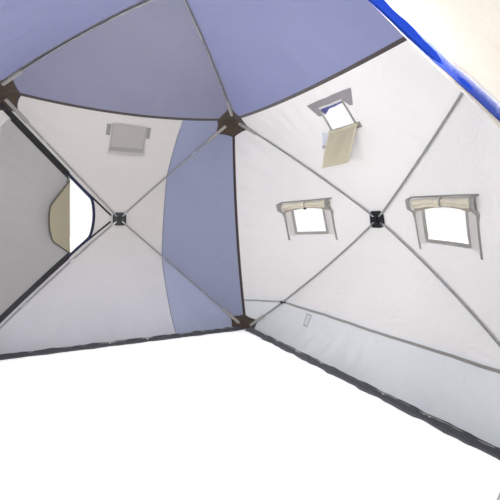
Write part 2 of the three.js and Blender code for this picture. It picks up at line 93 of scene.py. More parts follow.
ZIP_GAP = 0.060                          # door zips from the rods they follow
FOLD_A = 0.440                           # door fold, across from the hub
TIP_A = 0.229                            # rounded end of the doorway, across from the hub
HUB_HOLE = 0.036
CLOTH = 0.0014                           # thickness of the main cloth
MESH_STEP = 0.026


def vec(*values):
    return np.array(values, float)


def unit(v):
    v = np.asarray(v, float)
    return v / np.linalg.norm(v)


def clip01(value):
    return np.clip(value, 0, 1)


def ease(value):
    s = clip01(value)
    return s * s * (3 - 2 * s)


# ---------------------------------------------------------------- the shape of the fabric
def corner(sx, sy, top):
    return vec(sx * (HALF_X - LEAN * top), sy * (HALF_Y - LEAN * top), EAVES * top)


def sag_of(start, end):
    """Slack at the middle of the edge between two corners."""
    middle = (start + end) / 2
    if abs(start[2] - end[2]) > 1:
        return vec(-np.sign(middle[0]), -np.sign(middle[1]), 0) * SAG_EDGE / math.sqrt(2)
    if middle[2] > 1:
        return -unit(vec(middle[0], middle[1], 0)) * SAG_IN + vec(0, 0, -SAG_DOWN)
    return vec(0, 0, 0)


class Wall:
    """Four facets round a hub. Facet i lies between the rods to corners i and i + 1.

    In a facet, reach runs from 0 at the hub to 1 at the edge, and along from corner to
    corner. Flat points are (across, upward) from the hub in the plane of the corners, and
    seen from outside across points right. The normal points outwards.
    """

    def __init__(self, key, hub, corners, bows):
        self.key, self.hub, self.corners, self.bows = key, hub, corners, bows
        self.across = unit(corners[1] - corners[0])
        self.normal = unit(np.cross(self.across, corners[3] - corners[0]))
        self.upward = np.cross(self.normal, self.across)
        self.foot = hub - self.normal * float((hub - corners[0]) @ self.normal)
        following = corners[1:] + corners[:1]
        self.sag = [sag_of(a, b) for a, b in zip(corners, following)]
        self.edge_len = [float(np.linalg.norm(b - a)) for a, b in zip(corners, following)]
        self.flat = [self.local(p)[:2] for p in corners]

    def local(self, point):
        d = np.asarray(point, float) - self.hub
        return np.stack([d @ self.across, d @ self.upward, d @ self.normal], -1)

    def surf(self, i, reach, along):
        """Points of facet i in space."""
        t, u = np.broadcast_arrays(np.asarray(reach, float), np.asarray(along, float))
        j = (i + 1) % 4
        to_first, to_second = self.corners[i] - self.hub, self.corners[j] - self.hub
        points = self.hub + (t * (1 - u))[..., None] * to_first + (t * u)[..., None] * to_second
        bow = (1 - u) * self.bows[i] + u * self.bows[j]
        points = points + (4 * bow * t * (1 - t))[..., None] * self.normal
        return points + (4 * u * (1 - u) * t * t)[..., None] * self.sag[i]

    def flat_at(self, i, reach, along):
        return self.local(self.surf(i, reach, along))[:2]

    def facet_coords(self, flat_points):
        """Facet, reach and along of flat points, undoing the sag step by step."""
        target = np.atleast_2d(np.asarray(flat_points, float))
        count = len(target)
        facet, reach, along = np.zeros(count, int), np.zeros(count), np.zeros(count)
        best = np.full(count, -1e9)
        for i in range(4):
            inverse = np.linalg.inv(np.array([self.flat[i], self.flat[(i + 1) % 4]]).T)
            sag = np.array([self.sag[i] @ self.across, self.sag[i] @ self.upward])
            p = target.copy()
            for _ in range(10):
                weights = p @ inverse.T
                t = weights.sum(1)
                u = weights[:, 1] / np.where(np.abs(t) < 1e-9, 1e-9, t)
                u_in = clip01(u)
                p = target - (4 * u_in * (1 - u_in) * t * t)[:, None] * sag
            score = np.minimum(weights[:, 0], weights[:, 1])
            hit = score > best
            best = np.where(hit, score, best)
            facet = np.where(hit, i, facet)
            reach = np.where(hit, t, reach)
            along = np.where(hit, clip01(u), along)
        return facet, reach, along

    def lift(self, flat_points, out=0.0, wrinkled=True):
        """The fabric over flat points, moved by out along the normal."""
        flat_points = np.atleast_2d(np.asarray(flat_points, float))
        facet, reach, along = self.facet_coords(flat_points)
        points = np.zeros((len(flat_points), 3))
        for i in range(4):
            mine = facet == i
            if mine.any():
                points[mine] = self.surf(i, reach[mine], along[mine])
        out = np.broadcast_to(np.asarray(out, float), (len(flat_points),))
        relief = wrinkles(self, flat_points, facet, reach, along) if wrinkled else 0.0
        return points + (out + relief)[:, None] * self.normal

    def up(self, z):
        """Flat height of a level z on a leaning wall."""
        return (z - HUB_Z) * math.hypot(LEAN, EAVES) / EAVES


def side_wall(key, hub_x, hub_y, left, right):
    """Left and right are the (x, y) signs of its corners, seen from outside."""
    corners = [corner(*left, 0), corner(*right, 0), corner(*right, 1), corner(*left, 1)]
    return Wall(key, vec(hub_x, hub_y, HUB_Z), corners, [BOW_LOW, BOW_LOW, BOW_UP, BOW_UP])


HUB_X = HALF_X - LEAN / 2 + HUB_OUT
HUB_Y = HALF_Y - LEAN / 2 + HUB_OUT
WALLS = {
    "a": side_wall("a", 0, -HUB_Y, (-1, -1), (1, -1)),
    "b": side_wall("b", -HUB_X, 0, (-1, 1), (-1, -1)),
    "c": side_wall("c", 0, HUB_Y, (1, 1), (-1, 1)),
    "d": side_wall("d", HUB_X, 0, (1, -1), (1, 1)),
    "roof": Wall("roof", vec(0, 0, EAVES + ROOF_RISE),
                 [corner(-1, -1, 1), corner(1, -1, 1), corner(1, 1, 1), corner(-1, 1, 1)],
                 [BOW_ROOF] * 4),
}


# ---------------------------------------------------------------- cloth relief
def spectrum(seed, count, low, high):
    """Random plane waves: wave numbers x and y, phases and amplitudes."""
    random = np.random.default_rng(seed)
    k = np.exp(random.uniform(math.log(low), math.log(high), count))
    heading = random.uniform(0, 2 * math.pi, count)
    phase = random.uniform(0, 2 * math.pi, count)
    return k * np.cos(heading), k * np.sin(heading), phase, (low / k) ** 0.6


RELIEF = {key: (spectrum(11 + i, 26, 5, 26), spectrum(41 + i, 22, 40, 110))
          for i, key in enumerate(WALLS)}


def wave_sum(waves, points):
    kx, ky, phase, amplitude = waves
    total = (np.sin(points[:, 0:1] * kx + points[:, 1:2] * ky + phase) * amplitude).sum(1)
    return total / math.sqrt(len(kx))


def wrinkles(wall, points, facet, reach, along):
    """Outward relief: broad and fine creases, corner fans and pulls off the slack edges."""
    broad, fine = RELIEF[wall.key]
    edge = clip01((0.985 - reach) / 0.07)                           # still at the edges
    pole = clip01(np.minimum(along, 1 - along) * reach / 0.045)     # taut along the rods
    taut = 0.3 + 0.7 * pole
    calm = edge * (0.25 + 0.75 * pole) * clip01(reach / 0.18)
    low = np.where(facet == 0, 1.7, 1.0) if wall.key != "roof" else 1.0
    swell = wave_sum(broad, points * 0.5)
    relief = 0.0068 * wave_sum(broad, points) * calm * low
    outer = np.clip((reach - 0.45) / 0.4, 0.15, 1)
    relief += 0.0012 * wave_sum(fine, points) * calm * outer * low
    for q in range(4):
        dx, dy = points[:, 0] - wall.flat[q][0], points[:, 1] - wall.flat[q][1]
        r = np.hypot(dx, dy)
        fan = np.sin(14 * np.arctan2(dy, dx) + 5 * r + q)
        fade = np.exp(-(r / 0.62) ** 2) * clip01((r - 0.10) / 0.22)
        relief += 0.0075 * fade * fan * edge * taut
    for i in range(4):
        s = along * wall.edge_len[i]
        depth = np.hypot(*(0.5 * (wall.flat[i] + wall.flat[(i + 1) % 4])))
        inward = (1 - reach) * depth
        slack = np.exp(-(inward / 0.24) ** 2) * clip01((inward - 0.02) / 0.06)
        slack = slack * np.sin(math.pi * along)
        fold = np.sin(2 * math.pi * s / 0.23 + 3 * swell + 5 * inward)
        fold = fold + 0.5 * np.sin(2 * math.pi * s / 0.125 + 9 * inward + i)
        relief += np.where(facet == i, 0.0060 * slack * fold, 0)
    return relief


# ---------------------------------------------------------------- shader building
class Shader:
    """A node material under construction, textured in object coordinates."""

    def __init__(self, name):
        self.material = bpy.data.materials.new(name)
        self.material.use_nodes = True
        self.tree = self.material.node_tree
        self.tree.nodes.clear()
        self.output = self.node("ShaderNodeOutputMaterial")
        self.coords = self.node("ShaderNodeTexCoord").outputs["Object"]

    def node(self, kind, inputs=None, **settings):
        node = self.tree.nodes.new(kind)
        for key, value in settings.items():
            setattr(node, key, value)
        for key, value in (inputs or {}).items():
            self.put(node.inputs[key], value)
        return node

    def put(self, socket, value):
        """Link a socket, or set a number or a colour."""
        if isinstance(value, bpy.types.NodeSocket):
            self.tree.links.new(value, socket)
        else:
            socket.default_value = (*value, 1.0) if isinstance(value, tuple) else value

    def split_axes(self):
        self.x, self.y, self.z = self.node("ShaderNodeSeparateXYZ", {0: self.coords}).outputs

    def math(self, operation, first, second):
        node = self.node("ShaderNodeMath", {0: first, 1: second}, operation=operation)
        return node.outputs[0]

    def times(self, first, second):
        return self.math("MULTIPLY", first, second)

    def step(self, value, start, end):
        inputs = {"Value": value, "From Min": start, "From Max": end}
        node = self.node("ShaderNodeMapRange", inputs, interpolation_type="SMOOTHSTEP")
        return node.outputs[0]

    def mix(self, factor, first, second):
        inputs = {0: factor, 6: first, 7: second}
        return self.node("ShaderNodeMix", inputs, data_type="RGBA").outputs[2]

    def noise(self, scale, detail=3.0, rough=0.55, distort=0.0):
        inputs = {"Vector": self.coords, "Scale": scale, "Detail": detail,
                  "Roughness": rough, "Distortion": distort}
        return self.node("ShaderNodeTexNoise", inputs).outputs[0]

    def weave(self, scale=620.0):
        """Height of a plain weave that doesn't depend on which way the cloth faces."""
        x, y, z = [self.node("ShaderNodeTexWave", {"Vector": self.coords, "Scale": scale},
                             bands_direction=axis).outputs[1] for axis in "XYZ"]
        return self.math("ADD", self.times(self.math("ADD", x, y), 0.5), z)

    def bump(self, height, distance, strength, normal=None):
        inputs = {"Strength": strength, "Distance": distance, "Height": height}
        if normal is not None:
            inputs["Normal"] = normal
        return self.node("ShaderNodeBump", inputs).outputs[0]

    def shade(self, colour, rough, normal, metal=0.0, sheen=0.0, coat=0.0, specular=0.35,
              translucent=0.0, through=None):
        last = self.node("ShaderNodeBsdfPrincipled", {
            "Base Color": colour, "Roughness": rough, "Metallic": metal,
            "Sheen Weight": sheen, "Coat Weight": coat, "Specular IOR Level": specular,
            "Normal": normal}).outputs[0]
        if translucent:
            glow = self.node("ShaderNodeBsdfTranslucent", {
                "Color": colour if through is None else through, "Normal": normal}).outputs[0]
            last = self.node("ShaderNodeMixShader",
                             {0: translucent, 1: last, 2: glow}).outputs[0]
        self.put(self.output.inputs[0], last)
        return self.material


def srgb(*channels):
    """Linear colour from 0-255 sRGB channels."""
    return tuple(((v / 255 + 0.055) / 1.055) ** 2.4 if v > 10 else v / 255 / 12.92
                 for v in channels)


def cloth(name, base, translucent=0.30, zones=(), rough=0.78, crinkle=0.5, through=None,
          tone=0.07, sheen=0.15):
    """Thin fabric. Through is the colour of light let through, tone the strength of stains,
    and zones are (mask, colour, colour of the light let through)."""
    s = Shader(name)
    colour = base
    if through is None:
        through = base
    if zones:
        s.split_axes()
    for mask, zone_colour, zone_through in zones:
        factor = mask(s)
        colour = s.mix(factor, colour, zone_colour)
        through = s.mix(factor, through, zone_through)
    black, white = (0.0, 0.0, 0.0), (1.0, 1.0, 1.0)
    blots = s.step(s.noise(2.3, 4), 0.35, 0.7)
    colour = s.mix(s.times(blots, tone), colour, black)
    dust = s.noise(34, 5, 0.65)
    colour = s.mix(s.times(s.step(dust, 0.55, 0.75), tone * 0.6), colour, white)
    threads = s.weave()
    colour = s.mix(s.times(threads, 0.05), colour, black)
    creases = s.bump(s.noise(7.5, 6, 0.6, distort=0.8), 0.012 * crinkle, 0.7)
    fine = s.bump(s.noise(46, 4, 0.55), 0.0016 * crinkle, 0.6, creases)
    normal = s.bump(threads, 0.00012, 0.6, fine)
    roughness = s.math("ADD", s.times(dust, 0.12), rough - 0.06)
    return s.shade(colour, roughness, normal, sheen=sheen, translucent=translucent,
                   through=through)


def plain(name, base, rough=0.5, metal=0.0, coat=0.0, grain=220.0, depth=0.0003, wear=0.12,
          specular=0.4):
    """Moulded plastic or metal, with a grain and paler worn patches."""
    s = Shader(name)
    grain_height = s.noise(grain, 3)
    worn = s.step(s.noise(18, 5, 0.65), 0.5, 0.72)
    colour = s.mix(s.times(worn, wear), base, tuple(min(1, c * 1.8 + 0.05) for c in base))
    normal = s.bump(grain_height, depth, 0.5)
    roughness = s.math("ADD", s.times(worn, 0.15), rough)
    return s.shade(colour, roughness, normal, metal=metal, coat=coat, specular=specular)


def webbing(name, base, scale=260.0, translucent=0.0):
    """Coarse woven tape with a little fuzz."""
    s = Shader(name)
    threads = s.weave(scale)
    colour = s.mix(s.times(threads, 0.22), base, tuple(c * 0.4 for c in base))
    fuzz = s.step(s.noise(90, 4), 0.5, 0.75)
    pale = tuple(min(1, c * 1.6 + 0.03) for c in base)
    colour = s.mix(s.times(fuzz, 0.18), colour, pale)
    normal = s.bump(threads, 0.0006, 0.8)
    return s.shade(colour, 0.85, normal, sheen=0.3, translucent=translucent)


# ---------------------------------------------------------------- mesh helpers
def smooth_mesh(name, me, mats, angle):
    for m in mats:
        me.materials.append(m)
    me.polygons.foreach_set("use_smooth", np.ones(len(me.polygons), bool))
    me.validate()
    me.update()
    me.set_sharp_from_angle(angle=math.radians(angle))
    made = bpy.data.objects.new(name, me)
    bpy.context.scene.collection.objects.link(made)
    return made


def mesh(name, verts, faces, mats, slots=None, angle=45):
    """Slots: the material slot of each face. Edges sharper than the angle stay sharp."""
    me = bpy.data.meshes.new(name)
    me.from_pydata([tuple(map(float, v)) for v in verts], [],
                   [tuple(map(int, f)) for f in faces])
    if slots is not None:
        me.polygons.foreach_set("material_index", np.asarray(slots, np.int32))
    return smooth_mesh(name, me, mats, angle)


def cells(rows, cols, wrap=False):
    """Point numbers round each cell of a grid. With wrap, the last column meets the first."""
    for row in range(rows - 1):
        for i in range(cols if wrap else cols - 1):
            j = (i + 1) % cols
            yield (row * cols + i, row * cols + j, (row + 1) * cols + j, (row + 1) * cols + i)


def dense(line, step, closed=True):
    """A line with points added so that none are further apart than step."""
    line = [np.asarray(p, float) for p in line]
    points = []
    count = len(line)
    for i in range(count if closed else count - 1):
        a, b = line[i], line[(i + 1) % count]
        k = max(1, int(math.ceil(np.linalg.norm(b - a) / step)))
        points += [a + (b - a) * j / k for j in range(k)]
    if not closed:
        points.append(line[-1])
    return np.array(points)


def inside(loop, points):
    x, y = points[:, 0], points[:, 1]
    result = np.zeros(len(points), bool)
    x0, y0 = loop[-1]
    for x1, y1 in loop:
        crosses = (y1 > y) != (y0 > y)
        if crosses.any():
            rise = (y0 - y1) if y0 != y1 else 1e-12
            result ^= crosses & (x < (x0 - x1) * (y - y1) / rise + x1)
        x0, y0 = x1, y1
    return result


def within(loops, points):
    """Inside the first loop and outside the others, which are holes."""
    result = inside(loops[0], points)
    for hole in loops[1:]:
        result &= ~inside(hole, points)
    return result


def flat_mesh(outline, holes, step, creases=()):
    """Even triangles over a flat outline, with edges along the creases."""
    loops = [dense(outline, step)] + [dense(hole, step) for hole in holes]
    points, edges = [], []
    for loop in loops:
        first = len(points)
        points += list(loop)
        edges += [(first + i, first + (i + 1) % len(loop)) for i in range(len(loop))]
    for crease in creases:
        first = len(points)
        line = dense(crease, step, closed=False)
        points += list(line)
        edges += [(first + i, first + i + 1) for i in range(len(line) - 1)]
    low, high = loops[0].min(0), loops[0].max(0)
    xs = np.arange(low[0] + step / 2, high[0], step)
    ys = np.arange(low[1] + step / 2, high[1], step * 0.866)
    X, Y = np.meshgrid(xs, ys)
    X[::2] += step / 2
    grid = np.stack([X.ravel(), Y.ravel()], 1)
    grid = grid[within(loops, grid)]
    border = np.array(points)
    keep = np.ones(len(grid), bool)
    for s in range(0, len(border), 400):
        near = border[None, s:s + 400]
        gap = np.hypot(grid[:, None, 0] - near[..., 0], grid[:, None, 1] - near[..., 1])
        keep &= gap.min(1) > step * 0.55
    every = [Vector((float(p[0]), float(p[1]))) for p in points + list(grid[keep])]
    v, _edges, f, *_ = delaunay_2d_cdt(every, edges, [], 0, 1e-6)
    v = np.array([(p[0], p[1]) for p in v])
    f = np.array([t for t in f if len(t) == 3])
    f = f[within(loops, v[f].mean(1))]
    side1, side2 = v[f[:, 1]] - v[f[:, 0]], v[f[:, 2]] - v[f[:, 0]]
    area2 = side1[:, 0] * side2[:, 1] - side1[:, 1] * side2[:, 0]
    solid = np.abs(area2) > 1e-10
    f, area2 = f[solid], area2[solid]
    f[area2 < 0] = f[area2 < 0][:, ::-1]
    used = np.unique(f)
    remap = -np.ones(len(v), int)
    remap[used] = np.arange(len(used))
    return v[used], remap[f]


def open_edges(triangles):
    seen = set()
    for t in triangles:
        for a, b in ((t[0], t[1]), (t[1], t[2]), (t[2], t[0])):
            seen.add((int(a), int(b)))
    return [(a, b) for a, b in seen if (b, a) not in seen]


def closed_sheet(name, skin, normal, triangles, thick, mats):
    """Mats: one material for both sides, or (outer, inner)."""
    pair = mats if isinstance(mats, tuple) else (mats, mats)
    n = len(skin)
    faces = [tuple(t) for t in triangles] + [tuple(n + t[::-1]) for t in triangles]
    rim = [(b, a, n + a, n + b) for a, b in open_edges(triangles)]
    slots = [0] * len(triangles) + [1] * len(triangles) + [0] * len(rim)
    return mesh(name, np.vstack([skin, skin - normal * thick]), faces + rim, pair, slots)


def two_skins(name, skin, normal, triangles, thick, mats):
    """A sheet as two pieces: the outer skin with the rim, and the inner skin."""
    back = skin - normal * thick
    edges = open_edges(triangles)
    rim = {v: len(skin) + k for k, v in enumerate(sorted({v for e in edges for v in e}))}
    faces = [tuple(t) for t in triangles] + [(b, a, rim[a], rim[b]) for a, b in edges]
    outer = mesh(name, np.vstack([skin, back[sorted(rim)]]), faces, mats, [0] * len(faces))
    inner = mesh(name + "_inner", back, [tuple(t[::-1]) for t in triangles], mats,
                 [1] * len(triangles))
    return outer, inner


def panel(name, wall, outline, mats, step=0.02, out=0.0, thick=0.0012, shape=None):
    """A sheet over a flat outline. Shape adds to out at each flat point."""
    points, triangles = flat_mesh(outline, (), step)
    skin = wall.lift(points, out + (shape(points) if shape else 0.0))
    return closed_sheet(name, skin, wall.normal, triangles, thick, mats)


def ribbon(name, wall, path, width, mats, step=0.02, out=0.0, thick=0.0012, closed=False,
           ripple=0.0, shape=None):
    """A band along a flat path, one width or a width for each point."""
    centre = dense(path, step, closed)
    n = len(centre)
    if closed:
        heading = np.roll(centre, -1, 0) - np.roll(centre, 1, 0)
    else:
        heading = np.gradient(centre, axis=0)
    heading /= np.linalg.norm(heading, axis=1)[:, None] + 1e-12
    sideways = np.stack([-heading[:, 1], heading[:, 0]], 1)
    width = np.broadcast_to(np.asarray(width, float), (n,))
    strips = 4
    points = np.vstack([centre + sideways * (width * (r / strips - 0.5))[:, None]
                        for r in range(strips + 1)])
    triangles = []
    for a, b, c, d in cells(strips + 1, n, closed):
        triangles += [(a, b, c), (a, c, d)]
    if ripple:
        s = np.tile(np.arange(n) * step, strips + 1)
        out = out + ripple * np.sin(s * 2 * math.pi / 0.055) * 0.5
    if shape is not None:
        out = out + shape(points)
    skin = wall.lift(points, out)
    return closed_sheet(name, skin, wall.normal, np.array(triangles), thick, mats)


def tube(name, line, radius, mats, sides=10, segment_slots=None, cap=True):
    """A round bar along a line, one radius or a radius for each point."""
    line = np.asarray(line, float)
    n = len(line)
    radius = np.broadcast_to(np.asarray(radius, float), (n,))
    heading = np.gradient(line, axis=0)
    heading /= np.linalg.norm(heading, axis=1)[:, None] + 1e-12
    reference = vec(0, 0, 1) if abs(heading[0][2]) < 0.9 else vec(1, 0, 0)
    u = unit(np.cross(heading[0], reference))
    verts = []
    for i in range(n):
        u = unit(u - heading[i] * (u @ heading[i]))
        v = np.cross(heading[i], u)
        for k in range(sides):
            angle = 2 * math.pi * k / sides
            verts.append(line[i] + radius[i] * (u * math.cos(angle) + v * math.sin(angle)))
    faces = list(cells(n, sides, wrap=True))
    slots = None
    if segment_slots:
        slots = [slot for slot in segment_slots for _ in range(sides)]
        slots += [segment_slots[0], segment_slots[-1]]
    if cap:
        faces.append(tuple(range(sides))[::-1])
        faces.append(tuple((n - 1) * sides + k for k in range(sides)))
    return mesh(name, verts, faces, mats if isinstance(mats, tuple) else (mats,), slots, 50)


def frame_at(place, x_dir, z_dir):
    z_dir = unit(z_dir)
    x_dir = unit(np.asarray(x_dir, float) - z_dir * (np.asarray(x_dir, float) @ z_dir))
    matrix = Matrix.Identity(4)
    for col, axis in enumerate((x_dir, np.cross(z_dir, x_dir), z_dir, place)):
        for row in range(3):
            matrix[row][col] = float(axis[row])
    return matrix


def bevel_box(name, size, placement, mat, bevel):
    bm = bmesh.new()
    bmesh.ops.create_cube(bm, size=1.0)
    bmesh.ops.scale(bm, vec=Vector(size), verts=bm.verts)
    bmesh.ops.bevel(bm, geom=list(bm.edges), offset=bevel, segments=2, affect="EDGES",
                    profile=0.6)
    bm.transform(placement)
    me = bpy.data.meshes.new(name)
    bm.to_mesh(me)
    bm.free()
    return smooth_mesh(name, me, [mat], 40)


def sway(piece):
    """Bakes the piece's placement into its mesh.
    """
    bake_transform(piece)
    return piece


def ride(piece, body):
    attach(piece, body)
    return piece


# ---------------------------------------------------------------- finishes
def below(start, end):
    """Mask that grows from 0 at the upper level to 1 at the lower."""
    return lambda s: s.step(s.z, start, end)


BAND_X, BAND_CURVE, BAND_Z = 0.395, 0.07, 1.15      # seam of the blue band: x, bend, level


def band_mask(s):
    """The blue band at the corner shared with wall b, bounded by a gently curved seam."""
    dz = s.math("SUBTRACT", s.z, BAND_Z)
    line = s.math("SUBTRACT", s.times(s.times(dz, dz), -BAND_CURVE), BAND_X)
    # the line is at minus x, and lies at its least negative at the level BAND_Z
    return s.step(s.math("SUBTRACT", line, s.times(s.x, 1.0)), -0.0015, 0.0015)


def band_low_painted_light(s):
    """The part of that band under the lower rod, which leans out; it is painted paler there as
    painted light.
    """
    slope = s.math("ADD", s.times(s.x, -0.0335), 0.8854)
    line = s.math("ADD", s.times(s.x, slope), 1.13)
    return s.times(band_mask(s), s.step(s.math("SUBTRACT", line, s.z), -0.012, 0.012))


def roof_end(s):
    """The roof facet over wall a, which looks greyer."""
    y = s.times(s.y, -0.7625)
    return s.times(s.step(s.math("SUBTRACT", y, s.x), -0.004, 0.004),
                   s.step(s.math("ADD", y, s.x), -0.004, 0.004))


BLUE, BEIGE = srgb(58, 76, 158), srgb(204, 192, 172)
DAYLIGHT = (0.86, 0.86, 0.87)            # light through undyed cloth
BLUE_LIGHT = (0.50, 0.53, 0.66)          # light through the blue band

# Wall a's inner face is painted darker than wall b's as painted shade, and painted paler and
# bluer towards the ground as painted light.
A_IN = cloth("cloth_a_inner", srgb(196, 191, 187), 0.40, [
    (below(1.15, 0.25), srgb(200, 199, 210), DAYLIGHT),
    (band_mask, srgb(156, 160, 180), BLUE_LIGHT),
    (band_low_painted_light, srgb(176, 181, 200), (0.60, 0.63, 0.75))],
    tone=0.05, through=DAYLIGHT, crinkle=0.8)
A_OUT = cloth("cloth_a_outer", BEIGE, 0.36, [(band_mask, BLUE, BLUE_LIGHT)], rough=0.6,
              through=DAYLIGHT)
LOW_STRIP_Z = 0.38                       # seam above the lower strip of walls b and d
LOW_STRIP = below(0.385, 0.375)
B_IN = cloth("cloth_b_inner", srgb(228, 226, 227), 0.40,
             [(LOW_STRIP, srgb(222, 226, 230), DAYLIGHT)],
             tone=0.04, through=DAYLIGHT, crinkle=0.8)
B_OUT = cloth("cloth_b_outer", BEIGE, 0.38, [(LOW_STRIP, srgb(150, 148, 142), DAYLIGHT)],
              rough=0.6, through=DAYLIGHT)
C_OUT = cloth("cloth_c_outer", BEIGE, 0.34, [(band_mask, BLUE, BLUE_LIGHT)], rough=0.6,
              through=DAYLIGHT)
C_IN = cloth("cloth_c_inner", srgb(208, 203, 200), 0.34,
             [(band_mask, srgb(154, 158, 178), BLUE_LIGHT)], through=DAYLIGHT)
ROOF_IN = cloth("cloth_roof_inner", srgb(150, 151, 172), 0.48,
                [(roof_end, srgb(150, 149, 156), (0.44, 0.44, 0.51))],
                tone=0.05, through=(0.42, 0.45, 0.62))
ROOF_OUT = cloth("cloth_roof_outer", BLUE, 0.42, rough=0.55, through=(0.50, 0.54, 0.84))
DOOR_IN = cloth("cloth_door_inner", srgb(150, 147, 146), 0.26, tone=0.05, through=DAYLIGHT)
DOOR_OUT = cloth("cloth_door_outer", BEIGE, 0.30, rough=0.6, through=DAYLIGHT)
TIP = cloth("cloth_tip_lining", srgb(172, 164, 138), 0.20, tone=0.08)
FLAP = cloth("cloth_flap", srgb(196, 187, 162), 0.20, tone=0.08)
CREAM = webbing("binding_cream", srgb(236, 228, 200), translucent=0.3)
FILM = cloth("film_pale", srgb(236, 238, 244), 0.62, rough=0.35, crinkle=0.8, tone=0.02)
TRIM = webbing("trim_grey", srgb(160, 158, 152), translucent=0.20)
TRIM_LIGHT = webbing("trim_light", srgb(192, 189, 182), translucent=0.35)
HEADER = cloth("cloth_header", srgb(150, 146, 148), 0.18, tone=0.06)
ROLL = cloth("cloth_roll", srgb(218, 210, 190), 0.15, tone=0.05)
# slack cloth below the window rolls, painted a darker brown as painted shade
SHADED_DRAPE = cloth("cloth_drape_painted_shade", srgb(168, 158, 146), 0.15, tone=0.08)
WING = cloth("cloth_wing", srgb(226, 222, 216), 0.45, tone=0.05, through=DAYLIGHT)
BROWN = webbing("binding_brown", srgb(62, 50, 46), 240)
GUSSET = cloth("cloth_gusset", srgb(80, 67, 57), 0.10, tone=0.12, rough=0.9)
SLEEVE = webbing("sleeve_grey", srgb(176, 172, 168), 300, translucent=0.1)
BLACK = webbing("tape_black", srgb(24, 24, 28), 220)
NAVY = webbing("tape_navy", srgb(26, 34, 66), 220)
COIL = plain("zip_coil", srgb(38, 40, 46), 0.35, specular=0.6)
SKIRT = cloth("cloth_skirt", srgb(58, 60, 64), 0.05, tone=0.1, rough=0.7)
HEM = webbing("hem_dark", srgb(74, 76, 82), 240, translucent=0.05)
SEAM = webbing("seam_tape", srgb(186, 183, 178), 300, translucent=0.35)
SEAM_BAND = webbing("seam_tape_blue", srgb(158, 160, 180), 300, translucent=0.35)
ROD = plain("rod_glass_fibre", srgb(140, 140, 138), 0.38, coat=0.3, grain=400, depth=0.0001,
            wear=0.2)
FERRULE = plain("ferrule", srgb(176, 178, 182), 0.28, metal=1.0, wear=0.1)
HUB = plain("hub_moulding", srgb(18, 18, 19), 0.46, grain=600, depth=0.00015, wear=0.10)
HUB_CAP = plain("hub_cap_moulding", srgb(26, 26, 28), 0.55, grain=500, depth=0.0002,
                wear=0.12)
SLIDER = plain("slider_metal", srgb(60, 64, 72), 0.32, metal=0.9, wear=0.2)
STRAP = webbing("strap_black", srgb(22, 22, 24), 200)
BLUE_CLOTH = cloth("cloth_blue_roll", srgb(34, 52, 140), 0.12, rough=0.45, tone=0.12,
                   sheen=0.3)
BLUE_TRIM = webbing("trim_blue", srgb(30, 50, 140), 220)
TOGGLE = plain("toggle", srgb(20, 20, 22), 0.4)
SEAM_OUT = webbing("seam_tape_outer", srgb(176, 164, 146), 300, translucent=0.2)
SEAM_ROOF = webbing("seam_tape_roof", srgb(48, 62, 132), 300, translucent=0.2)
HEM_FOLD = cloth("cloth_hem_fold", srgb(196, 198, 196), 0.35, tone=0.05, through=DAYLIGHT)
VENT = cloth("cloth_vent", srgb(184, 179, 174), 0.32, tone=0.06, through=DAYLIGHT)
GLOSS = cloth("cloth_blue_gloss", srgb(36, 66, 168), 0.0, rough=0.26, tone=0.10, sheen=0.2)
WHITE_STRIP = webbing("strip_white", srgb(238, 230, 228), 260, translucent=0.3)


def light_backfaces(material, colour, strength):
    """The unseen inner faces glow a little, so a cut tube never shows as a black hole."""
    tree = material.node_tree
    geometry = tree.nodes.new("ShaderNodeNewGeometry")
    glow = tree.nodes.new("ShaderNodeMath")
    glow.operation = "MULTIPLY"
    glow.inputs[1].default_value = strength
    tree.links.new(geometry.outputs["Backfacing"], glow.inputs[0])
    for node in tree.nodes:
        if node.type == "BSDF_PRINCIPLED":
            tree.links.new(glow.outputs[0], node.inputs["Emission Strength"])
            node.inputs["Emission Color"].default_value = (*colour, 1)


light_backfaces(GLOSS, (0.03, 0.09, 0.50), 0.9)


# ---------------------------------------------------------------- openings
def rect(a0, b0, a1, b1):
    return [(a0, b0), (a1, b0), (a1, b1), (a0, b1)]


def mirror(box):
    return (-box[2], box[1], -box[0], box[3])


def ring(radius, count, turn=0.0):
    angles = [q * math.pi / (count / 2) + turn for q in range(count)]
    return [(radius * math.cos(angle), radius * math.sin(angle)) for angle in angles]


